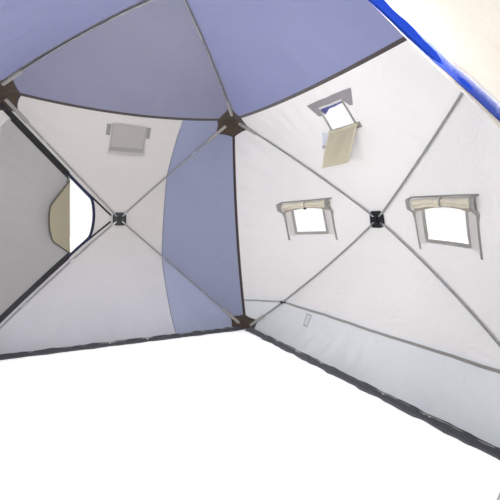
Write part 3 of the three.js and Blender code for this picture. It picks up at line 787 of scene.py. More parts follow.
class Doorway:
    """Zip lines of a door wall, in flat points. The lower and the upper zip each follow a
    rod at a gap. Side is +1 or -1, the way from the hub to the doorway."""

    def __init__(self, wall, low, high, side, facet, flip_along):
        """Low and high are corners, facet the one between them. With flip_along the facet
        runs from the high corner to the low."""
        self.wall, self.side, self.facet, self.flip = wall, side, facet, flip_along
        self.length, self.heading, self.inward = {}, {}, {}
        for level, index, turn in (("lower", low, side), ("upper", high, -side)):
            to_corner = wall.flat[index]
            self.length[level] = np.hypot(*to_corner)
            d = self.heading[level] = to_corner / self.length[level]
            self.inward[level] = vec(-d[1], d[0]) * turn

    def along(self, level, distance, gap):
        """The point of a zip line at a distance from the hub along the rod."""
        return self.heading[level] * distance + self.inward[level] * gap

    def at(self, level, across, gap):
        """The point of a zip line at a distance across from the hub."""
        lift = self.inward[level][0] * gap
        distance = (self.side * across - lift) / self.heading[level][0]
        return self.along(level, distance, gap)

    def arc(self, gap, fold=FOLD_A, inset=0.0, count=24):
        """The rounded end of the doorway, from the upper to the lower zip at the fold."""
        top, bottom = self.at("upper", fold, gap)[1], self.at("lower", fold, gap)[1]
        middle, half, reach = (top + bottom) / 2, (top - bottom) / 2, fold - TIP_A - inset
        points = []
        for q in range(count + 1):
            angle = math.pi / 2 - q * math.pi / count
            a = fold - reach * math.cos(angle)
            b = min(middle + half * math.sin(angle), self.at("upper", a, gap)[1])
            b = max(b, self.at("lower", a, gap)[1])
            points.append((self.side * a, b))
        return points

    def far(self, reach, gap, count=14):
        """The side along the wall's edge, from the lower to the upper rod."""
        clear = 0.245 / self.wall.edge_len[self.facet]
        points = [self.along("lower", self.length["lower"] - 0.20, gap)]
        for q in range(count + 1):
            u = clear + (1 - 2 * clear) * q / count
            points.append(self.wall.flat_at(self.facet, reach, 1 - u if self.flip else u))
        return points + [self.along("upper", self.length["upper"] - 0.20, gap)]


wall_a, wall_b, wall_c = WALLS["a"], WALLS["b"], WALLS["c"]
DOOR_A = Doorway(wall_a, low=1, high=2, side=1, facet=1, flip_along=False)
DOOR_C = Doorway(wall_c, low=0, high=3, side=-1, facet=3, flip_along=True)
# windows of wall b as (left, bottom, right, top); wall d has their mirror images
SIDE_WINDOWS = {"far": (0.500, wall_b.up(1.040), 0.810, wall_b.up(1.240)),
                "near": (-0.810, wall_b.up(1.010), -0.460, wall_b.up(1.205))}
TOP_WINDOW = (-0.130, wall_b.up(1.768), 0.090, wall_b.up(1.900))

WINDOW_BOXES = [*SIDE_WINDOWS.values(), TOP_WINDOW]
OPENINGS = {
    "a": [DOOR_A.far(0.965, ZIP_GAP) + DOOR_A.arc(ZIP_GAP)],
    "b": [rect(*box) for box in WINDOW_BOXES],
    "c": [DOOR_C.far(0.965, ZIP_GAP) + DOOR_C.arc(ZIP_GAP)],
    "d": [rect(*mirror(box)) for box in WINDOW_BOXES],
    "roof": [],
}
SKINS = {"a": (A_OUT, A_IN), "b": (B_OUT, B_IN), "c": (C_OUT, C_IN), "d": (B_OUT, B_IN),
         "roof": (ROOF_OUT, ROOF_IN)}


# ---------------------------------------------------------------- walls and roof
def fabric(key, wall):
    node, slot = f"wall_{key}", "wall_cloth"
    if key == "roof":
        node, slot = "roof_fabric", "roof_cloth"
    outline = [wall.flat_at(i, 0.9985, u)
               for i in range(4) for u in np.linspace(0, 1, 22, endpoint=False)]
    creases = [((0.0, 0.0), point) for point in wall.flat]
    points, triangles = flat_mesh(outline, OPENINGS[key] + [ring(HUB_HOLE, 12)], MESH_STEP,
                                  creases)
    name = f"{node}_cloth"
    outer, inner = two_skins(name, wall.lift(points), wall.normal, triangles, CLOTH,
                             SKINS[key])
    sway(outer)
    sway(inner)
    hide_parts(node)


for key, wall in WALLS.items():
    fabric(key, wall)


# ---------------------------------------------------------------- rods and clevises
def rod_point(wall, i, reach):
    return wall.surf(i, reach, 0.0) - ROD_INSET * wall.normal


def rod(wall, i):
    """A thin rod with two couplings and a sleeve towards the corner."""
    thin, coupling = 0.0055, 0.0072
    length = float(np.linalg.norm(wall.corners[i] - wall.hub))
    sleeve = 1 - 0.31 / length
    # stations: (reach, radius, material slot)
    stations = [(round(t, 5), thin, 0)
                for t in np.linspace(0.038 / length, 1 - 0.10 / length, 34)]
    for c in (0.34, 0.66):
        stations += [(c - 0.016, thin, 0), (c - 0.0159, coupling, 1),
                     (c + 0.0159, coupling, 1), (c + 0.016, thin, 0)]
    stations += [(sleeve, thin, 0), (sleeve + 0.0001, 0.0130, 2), (sleeve + 0.008, thin, 2)]
    stations = sorted(stations)
    reach = np.array([t for t, _, _ in stations])
    radii, slots = [], []
    for t, radius, slot in stations:
        in_sleeve = t > sleeve + 0.0002
        radii.append(0.0150 + 0.0008 * math.sin(t * 200) if in_sleeve else radius)
        slots.append(2 if in_sleeve else slot)
    tag = f"{wall.key}_{i + 1}"
    piece = tube(f"rod_{tag}", rod_point(wall, i, reach), radii, (ROD, FERRULE, SLEEVE),
                 segment_slots=[max(pair) for pair in zip(slots, slots[1:])])
    sway(piece)
    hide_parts(f"pole_{tag}")

    # clevis at the hub end, on the rod's own body
    start = 0.036 / length
    heading = unit(wall.surf(i, 0.09, 0.0) - wall.surf(i, 0.035 / length, 0.0))
    line = [rod_point(wall, i, start) + heading * x
            for x in (0.000, 0.003, 0.030, 0.034, 0.046, 0.048)]
    piece = tube(f"clevis_{tag}", line, [0.0070, 0.0082, 0.0082, 0.0074, 0.0074, 0.0060],
                 FERRULE, sides=14)
    ride(piece, f"pole_{tag}")


for wall in WALLS.values():
    for i in range(4):
        rod(wall, i)

# ---------------------------------------------------------------- finishes of the CAD pieces
for key in WALLS:
    for node_name, material in ((f"hub_{key}", HUB), (f"hub_cap_{key}", HUB_CAP)):
        node = frame["nodes"][node_name]
        for slot in node.material_slots:
            slot.material = material
        if not node.material_slots:
            node.data.materials.append(material)
for level in ("upper", "lower"):
    for slot in frame["nodes"][f"zip_slider_{level}"].material_slots:
        slot.material = SLIDER


# ---------------------------------------------------------------- corner reinforcements
# the corner pocket of the CAD frame at corners 1 to 4 of each wall
POCKETS = {
    "a": ("low_ab", "low_ad", "top_ad", "top_ab"),
    "b": ("low_bc", "low_ab", "top_ab", "top_bc"),
    "c": ("low_cd", "low_bc", "top_bc", "top_cd"),
    "d": ("low_ad", "low_cd", "top_cd", "top_ad"),
    "roof": ("top_ab", "top_ad", "top_cd", "top_bc"),
}
GUSSET_REACH = 0.20                      # along the rod
GUSSET_LEG = 0.165                       # along each edge


def gusset(wall, q):
    """Kite-shaped patches on both sides of corner q, with a binding on the hollow sides."""
    tip = wall.flat[q]
    point = tip * (1 - GUSSET_REACH / np.hypot(*tip))
    before = (q - 1) % 4
    leg1 = [wall.flat_at(q, 0.9965, x / wall.edge_len[q])
            for x in np.linspace(0.0, GUSSET_LEG, 7)]
    leg2 = [wall.flat_at(before, 0.9965, 1 - x / wall.edge_len[before])
            for x in np.linspace(GUSSET_LEG, 0.004, 7)]

    def hollow(a, b, pull=0.16):
        control = (a + b) / 2 * (1 - pull) + tip * pull
        return [(1 - s) ** 2 * a + 2 * s * (1 - s) * control + s * s * b
                for s in np.linspace(0, 1, 8)[1:-1]]

    inner_side = hollow(leg1[-1], point) + [point] + hollow(point, leg2[0])
    outline = leg1 + inner_side + leg2
    tag = f"{wall.key}_{q + 1}"
    piece = panel(f"gusset_{tag}", wall, outline, GUSSET, step=0.022, out=-0.0034)
    sway(piece)
    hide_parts(f"pocket_{POCKETS[wall.key][q]}")
    sway(panel(f"gusset_outer_{tag}", wall, outline, GUSSET, step=0.03, out=0.0030))
    sway(ribbon(f"gusset_binding_{tag}", wall, [leg1[-1]] + inner_side + [leg2[0]], 0.010,
                BROWN, step=0.015, out=-0.0050, thick=0.0009))


for wall in WALLS.values():
    for q in range(4):
        gusset(wall, q)

# ---------------------------------------------------------------- edges and seams
for key, wall in WALLS.items():
    for i in range(4):
        if key == "roof" or i != 0:
            path = [wall.flat_at(i, 0.9925, u) for u in np.linspace(0.004, 0.996, 60)]
            sway(ribbon(f"edge_binding_{key}_{i + 1}", wall, path, 0.010, BROWN,
                        step=0.03, out=-0.0030, thick=0.0011))
        if key != "roof" and (i == 2 or (i in (1, 3) and key in "ac")):
            line = wall.surf(i, 1.0, np.linspace(0.0, 1.0, 70))
            ride(tube(f"piping_{key}_{i + 1}", line, 0.0040, BROWN), "root")

for key, wall in WALLS.items():
    for i in range(4):
        sway(ribbon(f"rod_seam_outer_{key}_{i + 1}", wall,
                    [wall.flat[i] * 0.05, wall.flat[i] * 0.985], 0.024,
                    SEAM_ROOF if key == "roof" else SEAM_OUT,
                    step=0.03, out=0.0016, thick=0.0008))

for key, side in (("a", 1), ("c", -1)):
    wall = WALLS[key]
    path = [(side * (-BAND_X - BAND_CURVE * (z - BAND_Z) ** 2), wall.up(z))
            for z in np.linspace(0.07, 1.955, 70)]
    sway(ribbon(f"band_seam_{key}", wall, path, 0.008, SEAM_BAND,
                step=0.03, out=-0.0026, thick=0.0007))
    sway(ribbon(f"band_seam_outer_{key}", wall, path, 0.012, BLUE_TRIM,
                step=0.03, out=0.0018, thick=0.0007))


def low_seam(key):
    """The level seam of walls b and d, and the clips where it meets the lower rods."""
    wall = WALLS[key]
    b = wall.up(LOW_STRIP_Z)
    A = np.linspace(-1.6, 1.6, 200)
    _, reach, _ = wall.facet_coords(np.stack([A, np.full(200, b)], 1))
    A = A[reach < 0.988]
    for side, out in (("", -0.0026), ("_outer", 0.0018)):
        sway(ribbon(f"wall_seam_{key}{side}", wall, [(A[0], b), (A[-1], b)], 0.017, SEAM,
                    step=0.03, out=out, thick=0.0008))
    for i in (0, 1):
        t = b / wall.flat[i][1]
        place = rod_point(wall, i, t)
        heading = unit(rod_point(wall, i, t + 0.01) - place)
        placement = frame_at(place - wall.normal * 0.004, heading, wall.normal)
        sway(bevel_box(f"rod_clip_{key}_{i + 1}", (0.022, 0.024, 0.020), placement, TOGGLE,
                       bevel=0.004))
        centre = wall.flat[i] * t
        sway(ribbon(f"rod_clip_strap_{key}_{i + 1}", wall,
                    [centre + vec(-0.035, 0), centre + vec(0.035, 0)], 0.016, STRAP,
                    step=0.01, out=-0.0042))


for key in "bd":
    low_seam(key)


# ---------------------------------------------------------------- bottom hem
# rows of the hem: height and its waviness, inward reach and its waviness
HEM_ROWS = [
    (0.0340, 0.004, 0.0062, 0.000), (0.0260, 0.002, 0.0075, 0.002),
    (0.0170, 0.000, 0.0100, 0.004), (0.0080, 0.000, 0.0140, 0.006),
    (0.0030, 0.000, 0.0210, 0.008), (0.0000, 0.000, 0.0310, 0.011),
    (0.0000, 0.000, 0.0400, 0.014),
]


def hem(key, wall):
    """A wavy turned-in hem on the ground, with a fold and a narrow band on the wall."""
    n = 180
    u = np.linspace(0.006, 0.994, n)
    inward = unit(vec(-wall.normal[0], -wall.normal[1], 0))
    s = u * wall.edge_len[0]
    phase = np.random.default_rng(ord(key)).uniform(0, 6.28, 4)
    waves = (0.5 * np.sin(s * 19 + phase[0]) + 0.3 * np.sin(s * 33 + phase[1])
             + 0.2 * np.sin(s * 57 + phase[2]))
    front, behind = [], []
    for q, (height, height_wave, reach, reach_wave) in enumerate(HEM_ROWS):
        P = wall.surf(0, 1 - (height + height_wave * waves) / HUB_Z, u)
        P = P + inward[None, :] * (reach + reach_wave * waves)[:, None]
        P[:, 2] = np.maximum(P[:, 2], 0.0034 + 0.0012 * (1 + waves) * (q >= 5))
        front.append(P)
        behind.append(P - inward * 0.0010 * (q < 4)
                      - vec(0, 0, 0.0011) * (q >= 3) - vec(0, 0, 0.0002))
    rows = len(HEM_ROWS)
    N = rows * n
    faces = []
    for a, b, c, d in cells(rows, n):
        faces += [(a, b, c, d), (N + a, N + d, N + c, N + b)]
    for i in range(n - 1):
        a = (rows - 1) * n + i
        faces += [(i + 1, i, N + i, N + i + 1), (a, a + 1, N + a + 1, N + a)]
    for q in range(rows - 1):
        a, b = q * n, q * n + n - 1
        faces += [(a, a + n, N + a + n, N + a), (b + n, b, N + b, N + b + n)]
    sway(mesh(f"hem_{key}", np.vstack(front + behind), faces, [HEM], angle=60))

    half = wall.edge_len[0] / 2 - 0.14

    def wavy(z):
        return [(x, wall.up(z) + 0.003 * math.sin(17 * x + phase[3]))
                for x in np.linspace(-half, half, 90)]

    sway(ribbon(f"hem_fold_{key}", wall, wavy(0.058), 0.036, HEM_FOLD, step=0.012,
                out=-0.0060, thick=0.0007, ripple=0.0016))
    sway(ribbon(f"hem_stitch_{key}", wall, wavy(0.079), 0.0055, TRIM, step=0.03,
                out=-0.0072, thick=0.0006))


for key in "abcd":
    hem(key, WALLS[key])


# ---------------------------------------------------------------- ground skirt
def ground_skirt():
    """A rippled sheet on the ground all round the foot of the walls."""
    offsets = [0.002, 0.010, 0.022, 0.045, 0.070, 0.098, 0.125, 0.150, 0.168, SKIRT_REACH]
    n = 120                              # points on each side
    signs = [(-1, -1), (1, -1), (1, 1), (-1, 1)]
    around = np.array([(sx + (ex - sx) * q / n, sy + (ey - sy) * q / n)
                       for (sx, sy), (ex, ey) in zip(signs, signs[1:] + signs[:1])
                       for q in range(n)])
    cols, rows = len(around), len(offsets)
    turn = np.arange(cols) / n * 2 * math.pi
    top, bottom = [], []
    for out in offsets:
        swell = math.sin(math.pi * min(1, out / SKIRT_REACH))
        waves = (np.sin(turn * 9 + 60 * out) + 0.6 * np.sin(turn * 17 + 1.3 + out * 31)
                 + 0.5 * np.sin(turn * 31 + out * 55))
        z = (0.0026 + 0.0042 * swell * np.clip(waves + 0.6, 0, 2.2)
             + 0.008 * max(0, 1 - out / 0.02))
        X, Y = around[:, 0] * (HALF_X + out), around[:, 1] * (HALF_Y + out)
        top.append(np.stack([X, Y, z], 1))
        bottom.append(np.stack([X, Y, z - 0.0016], 1))
    N = rows * cols
    faces = []
    for a, b, c, d in cells(rows, cols, wrap=True):
        faces += [(a, d, c, b), (N + a, N + b, N + c, N + d)]
    last = (rows - 1) * cols
    for i in range(cols):
        j = (i + 1) % cols
        a, b = last + i, last + j
        faces += [(i, j, N + j, N + i), (b, a, N + a, N + b)]
    piece = mesh("skirt_cloth", np.vstack(top + bottom), faces, [SKIRT], angle=60)
    ride(piece, "root")
    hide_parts("ground_skirt")


ground_skirt()

# ---------------------------------------------------------------- door of wall a
# the way along wall a's edge beside the door, and the way in from that edge, in space
_edge = unit(wall_a.flat[2] - wall_a.flat[1])
_inward = vec(-_edge[1], _edge[0])
if _inward @ (-(wall_a.flat[1] + wall_a.flat[2])) < 0:
    _inward = -_inward
_inward = wall_a.across * _inward[0] + wall_a.upward * _inward[1]


def on_door(piece):
    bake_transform(piece)
    return piece


def door_zip(level):
    """Tapes on the door, storm flaps on the wall and the coil between them."""
    length = DOOR_A.length[level]
    path = [DOOR_A.at(level, FOLD_A + 0.006, ZIP_GAP + 0.0125),
            DOOR_A.along(level, length - 0.215, ZIP_GAP + 0.0125)]
    for side, out in (("", -0.0032), ("outer_", 0.0018)):
        on_door(ribbon(f"door_zip_tape_{side}{level}", wall_a, path, 0.017, BLACK,
                       out=out, thick=0.0010))
    # the storm flap is wide from the corner to the fold, narrow from there to the hub
    fold = float(np.hypot(*DOOR_A.at(level, FOLD_A, 0.05)))
    distances = np.linspace(length - 0.10, 0.075, 90)
    widths = 0.016 + 0.026 * ease((distances - fold + 0.03) / 0.06)
    gaps = 0.030 + 0.020 * clip01(distances / fold)
    path = [DOOR_A.along(level, s, gap) for s, gap in zip(distances, gaps)]
    reached = dense(path, 0.03, False) @ DOOR_A.heading[level]
    width = np.interp(reached, distances[::-1], widths[::-1])
    sway(ribbon(f"storm_flap_{level}", wall_a, path, width, BLACK, step=0.03, out=-0.0046,
                thick=0.0013))
    sway(ribbon(f"storm_flap_outer_{level}", wall_a, path, width * 1.1, BLUE_TRIM,
                step=0.03, out=0.0034))
    coil = [DOOR_A.along(level, s, ZIP_GAP + 0.0015)
            for s in np.linspace(fold, length - 0.205, 70)]
    sway(tube(f"zip_coil_{level}", wall_a.lift(coil, -0.0012), 0.0021, COIL, sides=6))


DOOR_GAP = ZIP_GAP + 0.003
outline = DOOR_A.far(0.9635, DOOR_GAP) + [DOOR_A.at("upper", FOLD_A + 0.003, DOOR_GAP),
                                          DOOR_A.at("lower", FOLD_A + 0.003, DOOR_GAP)]
door = on_door(panel("door_cloth_a", wall_a, outline, (DOOR_OUT, DOOR_IN),
                     step=MESH_STEP * 0.9, thick=CLOTH))
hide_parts("door_edge", "door_panel")
for level in ("upper", "lower"):
    door_zip(level)
arc = DOOR_A.arc(ZIP_GAP - 0.011)
sway(ribbon("door_arc_tape", wall_a, arc, 0.024, NAVY, step=0.012, out=-0.0050))
sway(ribbon("door_arc_tape_outer", wall_a, arc, 0.024, BLACK, step=0.012, out=0.0030))
coil = dense(DOOR_A.arc(ZIP_GAP + 0.0015), 0.012, False)
sway(tube("door_arc_coil", wall_a.lift(coil, -0.0012), 0.0021, COIL, sides=6))
fold_line = [DOOR_A.at(level, FOLD_A + 0.004, DOOR_GAP + 0.003)
             for level in ("lower", "upper")]
on_door(ribbon("door_fold_binding", wall_a, fold_line, 0.019, TRIM, out=-0.0030,
               thick=0.0010))

# the tip is drawn closed and then turned back about its hinge line, as it stands at rest
TIP_OPEN = math.radians(162)
tip_joint = next(joint for joint in frame["joints"] if joint["name"] == "door_a_tip")
tip_axis = Vector(unit(tip_joint["axis"]))
tip_place = Vector(np.array(tip_joint["pos_m"], float))
TIP_TURN = (Matrix.Translation(tip_place) @ Matrix.Rotation(TIP_OPEN, 4, tip_axis)
            @ Matrix.Translation(-tip_place))


def on_tip(piece):
    piece.data.transform(TIP_TURN)
    piece.data.update()
    return ride(piece, "door_tip")


TIP_GAP = ZIP_GAP + 0.008
TIP_FOLD = FOLD_A - 0.003
tip = on_tip(panel("door_tip_cloth", wall_a, DOOR_A.arc(TIP_GAP, TIP_FOLD, 0.006),
                   (TIP, DOOR_IN), thick=CLOTH))
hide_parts("door_tip")
tip_edge = DOOR_A.arc(TIP_GAP + 0.006, TIP_FOLD, 0.012)
on_tip(ribbon("door_tip_binding", wall_a, tip_edge, 0.010, BROWN, step=0.012, out=0.0014,
              thick=0.0010))
on_tip(ribbon("door_tip_tape", wall_a, tip_edge, 0.012, BLACK, step=0.012, out=-0.0026,
              thick=0.0010))

# pull cords on the two sliders
for level in ("upper", "lower"):
    low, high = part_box(f"zip_slider_{level}")
    centre = (vec(*low) + vec(*high)) / 2 - wall_a.normal * 0.006
    line = [centre + vec(*shift) for shift in (
        (0, 0, -0.004), (-0.003, 0.004, -0.016), (-0.002, 0.005, -0.034),
        (0.001, 0.004, -0.052))]
    ride(tube(f"zip_cord_{level}", line, [0.0016, 0.0018, 0.0018, 0.0032], STRAP, sides=8),
         f"slider_{level}")


# ---------------------------------------------------------------- vent high on wall a
def vent(wall):
    """A closed flap that hangs loose inside, and a blue hood outside."""
    left, bottom, right, top = -0.150, wall.up(1.735), 0.130, wall.up(1.945)

    def belly(v):
        across = clip01(np.sin((v[:, 0] - left) / (right - left) * math.pi))
        return across * clip01((top - v[:, 1]) / (top - bottom))

    def loose(v):
        ripples = np.sin((v[:, 0] - left) * 55) * clip01((top - v[:, 1]) / 0.2)
        return -0.005 * belly(v) - 0.0025 * ripples

    sway(panel("vent_flap_a", wall, rect(left, bottom, right, top), VENT, step=0.018,
               out=-0.0078, shape=loose))
    for q, x in enumerate((left + 0.004, right - 0.004)):
        sway(ribbon(f"vent_edge_a_{q + 1}", wall, [(x, top - 0.002), (x, bottom + 0.004)],
                    0.009, TRIM_LIGHT, step=0.018, out=-0.0096, thick=0.0010,
                    shape=loose))
    hem_b = bottom + 0.018
    sway(ribbon("vent_hem_a", wall, [(left + 0.002, hem_b), (right - 0.002, hem_b)], 0.034,
                TRIM_LIGHT, step=0.018, out=-0.0096, thick=0.0010, shape=loose))
    for q, x in enumerate((left - 0.018, right + 0.022)):
        path = [(x, top - 0.004), (x - 0.004 * (1 - 2 * q), top - 0.090)]
        sway(ribbon(f"vent_tab_a_{q + 1}", wall, path, 0.032, TRIM, step=0.018,
                    out=-0.0040))
    outline = [(left - 0.02, bottom - 0.02), (right + 0.02, bottom - 0.02),
               (right - 0.01, top + 0.01), (left + 0.01, top + 0.01)]
    sway(panel("vent_hood_outer_a", wall, outline, BLUE_CLOTH, out=0.0045,
               shape=lambda v: 0.022 * belly(v)))


vent(wall_a)


# ---------------------------------------------------------------- windows of walls b and d
def window_strips(wall, tag, box):
    """A strip down each side, wide at the top where it lies over the end of the roll, and a
    loose wing of cloth between strip and opening."""
    left, bottom, right, top = box

    def over_roll(v):
        return (-0.042 * ease((v[:, 1] - (top - 0.035)) / 0.035)
                * np.clip((top + 0.066 - v[:, 1]) / 0.012, 0.12, 1))

    sides = ((left - 0.092, left - 0.014, 1), (right + 0.092, right + 0.014, -1))
    for q, (a, wing_edge, toward) in enumerate(sides):
        path = [(a, top + 0.066), (a + 0.004 * toward, top - 0.02),
                (a + 0.010 * toward, bottom - 0.066)]
        share = np.linspace(0, 1, len(dense(path, 0.012, False)))
        width = np.interp(share, [0, 0.30, 0.42, 1], [0.042, 0.038, 0.018, 0.017])
        sway(ribbon(f"window_strip_{tag}_{q + 1}", wall, path, width, TRIM, step=0.012,
                    out=-0.0036, thick=0.0016, shape=over_roll))
        start, end = sorted((a + 0.010 * toward, wing_edge))
        outline = [(start, bottom - 0.03), (end, bottom - 0.02), (end, top + 0.03),
                   (start, top + 0.05)]
        sway(panel(f"window_wing_{tag}_{q + 1}", wall, outline, WING, step=0.015,
                   out=-0.0030, thick=0.0008, shape=lambda v: -0.007 * clip01(
                       np.sin((v[:, 0] - start) / (end - start) * math.pi))))


def window_roll(wall, tag, box):
    """The cover rolled up above the opening, the slack cloth that arches below it, painted a
    darker brown as painted shade under the roll, and the tie round its middle."""
    left, _, right, top = box
    middle = (left + right) / 2
    x = np.linspace(-1, 1, 61)
    pinch = np.exp(-(x / 0.08) ** 2)
    taper = 0.5 + 0.5 * clip01((1 - np.abs(x)) / 0.05) ** 0.5
    A = middle + x * ((right - left) / 2 + 0.078)
    B = top + 0.040 - 0.006 * np.abs(x) ** 1.6 - 0.002 * np.sin(x * 9)
    radius = 0.0165 + 0.0016 * np.sin(7 * x + 1) + 0.0015 * np.sin(17 * x)
    radius = radius * (1 - 0.40 * pinch) * taper

    def behind(b, radius, gap):
        line = wall.lift(np.stack([A, b], 1), wrinkled=False)
        return line - wall.normal * (radius + gap)[:, None]

    line = behind(B, radius, 0.007)
    piece = tube(f"window_roll_cloth_{tag}", line, radius, ROLL, sides=16)
    sway(piece)
    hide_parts(f"window_roll_{tag}")
    fold = (0.0115 + 0.002 * np.sin(9 * x + 2)) * (1 - 0.3 * pinch) * taper
    fold_line = behind(B - 0.021 - 0.004 * np.abs(x) ** 2, fold, 0.009)
    sway(tube(f"window_roll_fold_{tag}", fold_line, fold, ROLL, sides=12))

    x = np.linspace(-1, 1, 25)
    half = (right - left) / 2 + 0.070
    arch = [(middle + q * half, top + 0.004 - 0.030 * abs(q) ** 1.7) for q in x]
    upper = [(middle + q * half, top + 0.026) for q in x[::-1]]
    # the arch below the roll is real slack cloth, painted darker as painted shade
    sway(panel(f"window_drape_{tag}", wall, arch + upper, SHADED_DRAPE, step=0.012, out=-0.0080,
               thick=0.0010, shape=lambda v: -0.006 * (1 + np.sin(v[:, 0] * 60))
               * clip01((top + 0.026 - v[:, 1]) / 0.05)))

    centre = line[30]
    loop = []
    for q in range(15):
        angle = 2 * math.pi * q / 14
        loop.append(centre + wall.upward * (0.0235 * math.cos(angle) - 0.008)
                    - wall.normal * (0.0155 * math.sin(angle)))
    sway(tube(f"window_tie_{tag}", loop, 0.0042, TRIM, sides=8, cap=False))
    return centre


def side_window(key, wall, which, box):
    """Trim, strips, roll and outer hood. Box is (left, bottom, right, top) from outside."""
    tag = f"{key}_{which}"
    left, bottom, right, top = box
    path = [(left - 0.007, top + 0.010), (left - 0.007, bottom - 0.007),
            (right + 0.007, bottom - 0.007), (right + 0.007, top + 0.010)]
    for side, out, mat in (("", -0.0036, TRIM_LIGHT), ("_outer", 0.0022, TRIM)):
        sway(ribbon(f"window_trim_{tag}{side}", wall, path, 0.023, mat, out=out))
    window_strips(wall, tag, box)
    sway(ribbon(f"window_header_{tag}", wall,
                [(left - 0.110, top + 0.066), (right + 0.110, top + 0.066)], 0.010, TRIM,
                out=-0.0034))
    centre = window_roll(wall, tag, box)
    if which == "far":
        placement = frame_at(centre - wall.upward * 0.040 - wall.normal * 0.006,
                             wall.across, wall.normal)
        sway(bevel_box(f"window_toggle_{key}", (0.030, 0.013, 0.012), placement, TOGGLE,
                       bevel=0.004))
    outline = [(left - 0.03, top + 0.012), (right + 0.03, top + 0.012),
               (right + 0.05, top + 0.062), (left - 0.05, top + 0.062)]
    sway(panel(f"window_hood_outer_{tag}", wall, outline, BLUE_CLOTH, out=0.0040,
               shape=lambda v: 0.018 * clip01((top + 0.062 - v[:, 1]) / 0.05) ** 1.5))


def top_window(key, wall, side):
    """Grey header that reaches the eaves, trim, outer hood and a loose pale film. Points are
    given for wall b; side -1 mirrors them for wall d."""
    start, end = TOP_WINDOW[0], TOP_WINDOW[2]

    def place(*points):
        """Flat points from (across, level z)."""
        return [(side * a, wall.up(z)) for a, z in points]

    header = place((start - 0.062, 1.862), (start - 0.040, 1.866), (start - 0.014, 1.912),
                   (end + 0.010, 1.912), (end + 0.012, 1.862), (end + 0.046, 1.866),
                   (end + 0.105, 1.948), (start - 0.120, 1.948))
    sway(panel(f"window_hood_{key}", wall, header, HEADER, out=-0.0040))
    trims = (("left", place((end + 0.007, 1.905), (end + 0.007, 1.760)), 0.016),
             ("right", place((start - 0.007, 1.905), (start - 0.007, 1.760)), 0.016),
             ("bottom", place((start - 0.045, 1.751), (end + 0.035, 1.751)), 0.032))
    for part, path, width in trims:
        for face, out in (("", -0.0036), ("_outer", 0.0022)):
            piece = ribbon(f"window_top_trim_{part}{face}_{key}", wall, path, width,
                           TRIM_LIGHT, out=out)
            sway(piece)
            if part == "bottom" and not face:
                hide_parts(f"window_frame_{key}")
    hood = place((end - 0.055, 1.893), (end + 0.02, 1.872), (end + 0.05, 1.935),
                 (start - 0.05, 1.935), (start - 0.02, 1.899))
    sway(panel(f"window_top_hood_outer_{key}", wall, hood, BLUE_CLOTH, out=0.0040,
               shape=lambda v: 0.030 * clip01((wall.up(1.935) - v[:, 1]) / 0.05) ** 1.5))
    film = place((end + 0.100, 1.770), (end + 0.026, 1.742), (end - 0.020, 1.672),
                 (end + 0.160, 1.665))
    sway(panel(f"window_film_{key}", wall, film, FILM, step=0.015, out=-0.010,
               thick=0.0007,
               shape=lambda v: -0.020 * clip01((wall.up(1.77) - v[:, 1]) / 0.10)))
    sway(ribbon(f"window_film_hem_{key}", wall,
                place((end + 0.157, 1.672), (end - 0.018, 1.680)), 0.018, TRIM_LIGHT,
                step=0.015, out=-0.0325, thick=0.0010))


def window_cover(key, side):
    """The hanging cover of the top window, on its own hinge. Side is +1 on wall b and -1 on
    wall d, which is also the way into the tent along X."""
    cols, rows = 26, 30
    start_y, width, drift = -0.090, 0.276, -0.078
    low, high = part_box(f"window_flap_{key}")
    mid_x = (low[0] + high[0]) / 2
    verts = []
    for back in (0.0, 0.0014):
        for j in range(rows + 1):
            v = j / rows
            for i in range(cols + 1):
                u = i / cols
                y = side * (start_y + width * u + drift * v * 0.9)
                z = high[2] - 0.002 - (high[2] - low[2] - 0.004) * v * (1.0 - 0.03 * u)
                bend = (0.006 * math.sin(math.pi * v)
                        + 0.007 * v * v * math.sin(2.2 * math.pi * u + 0.6)
                        + 0.004 * math.sin(9 * u + 3 * v))
                verts.append((mid_x + side * bend + back, y, z))
    n = cols + 1
    N = n * (rows + 1)
    faces, slots = [], []
    for a, b, c, d in cells(rows + 1, n):
        at_rim = a % n in (0, cols - 1) or a < n
        faces += [(a, b, c, d), (N + a, N + d, N + c, N + b)]
        slots += [1 if at_rim else 0] * 2
    loop = [i for i in range(n)] + [j * n + cols for j in range(1, rows + 1)]
    loop += [rows * n + i for i in range(cols - 1, -1, -1)]
    loop += [j * n for j in range(rows - 1, 0, -1)]
    for a, b in zip(loop, loop[1:] + loop[:1]):
        faces.append((b, a, N + a, N + b))
        slots.append(1)
    piece = mesh(f"window_cover_{key}", verts, faces, [FLAP, CREAM], slots, angle=50)
    ride(piece, f"flap_{key}")
    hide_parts(f"window_flap_{key}")
    bar_centre = vec(mid_x + side * 0.001, side * (start_y + width / 2), high[2] - 0.004)
    placement = frame_at(bar_centre, vec(0, 1, 0), vec(0, 0, 1))
    ride(bevel_box(f"window_cover_bar_{key}", (width + 0.012, 0.010, 0.018), placement,
                   CREAM, bevel=0.003), f"flap_{key}")


for key, side in (("b", 1.0), ("d", -1.0)):
    for which, box in SIDE_WINDOWS.items():
        side_window(key, WALLS[key], which, box if key == "b" else mirror(box))
    top_window(key, WALLS[key], side)
    window_cover(key, side)

# small blank patch low on wall b
sway(panel("blank_patch_b", wall_b, rect(0.640, wall_b.up(0.262), 0.710, wall_b.up(0.352)),
           B_IN, out=-0.0040, thick=0.0008))
sway(ribbon("blank_patch_edge_b", wall_b,
            rect(0.643, wall_b.up(0.265), 0.707, wall_b.up(0.349)), 0.008, TRIM_LIGHT,
            step=0.012, out=-0.0052, thick=0.0008, closed=True))

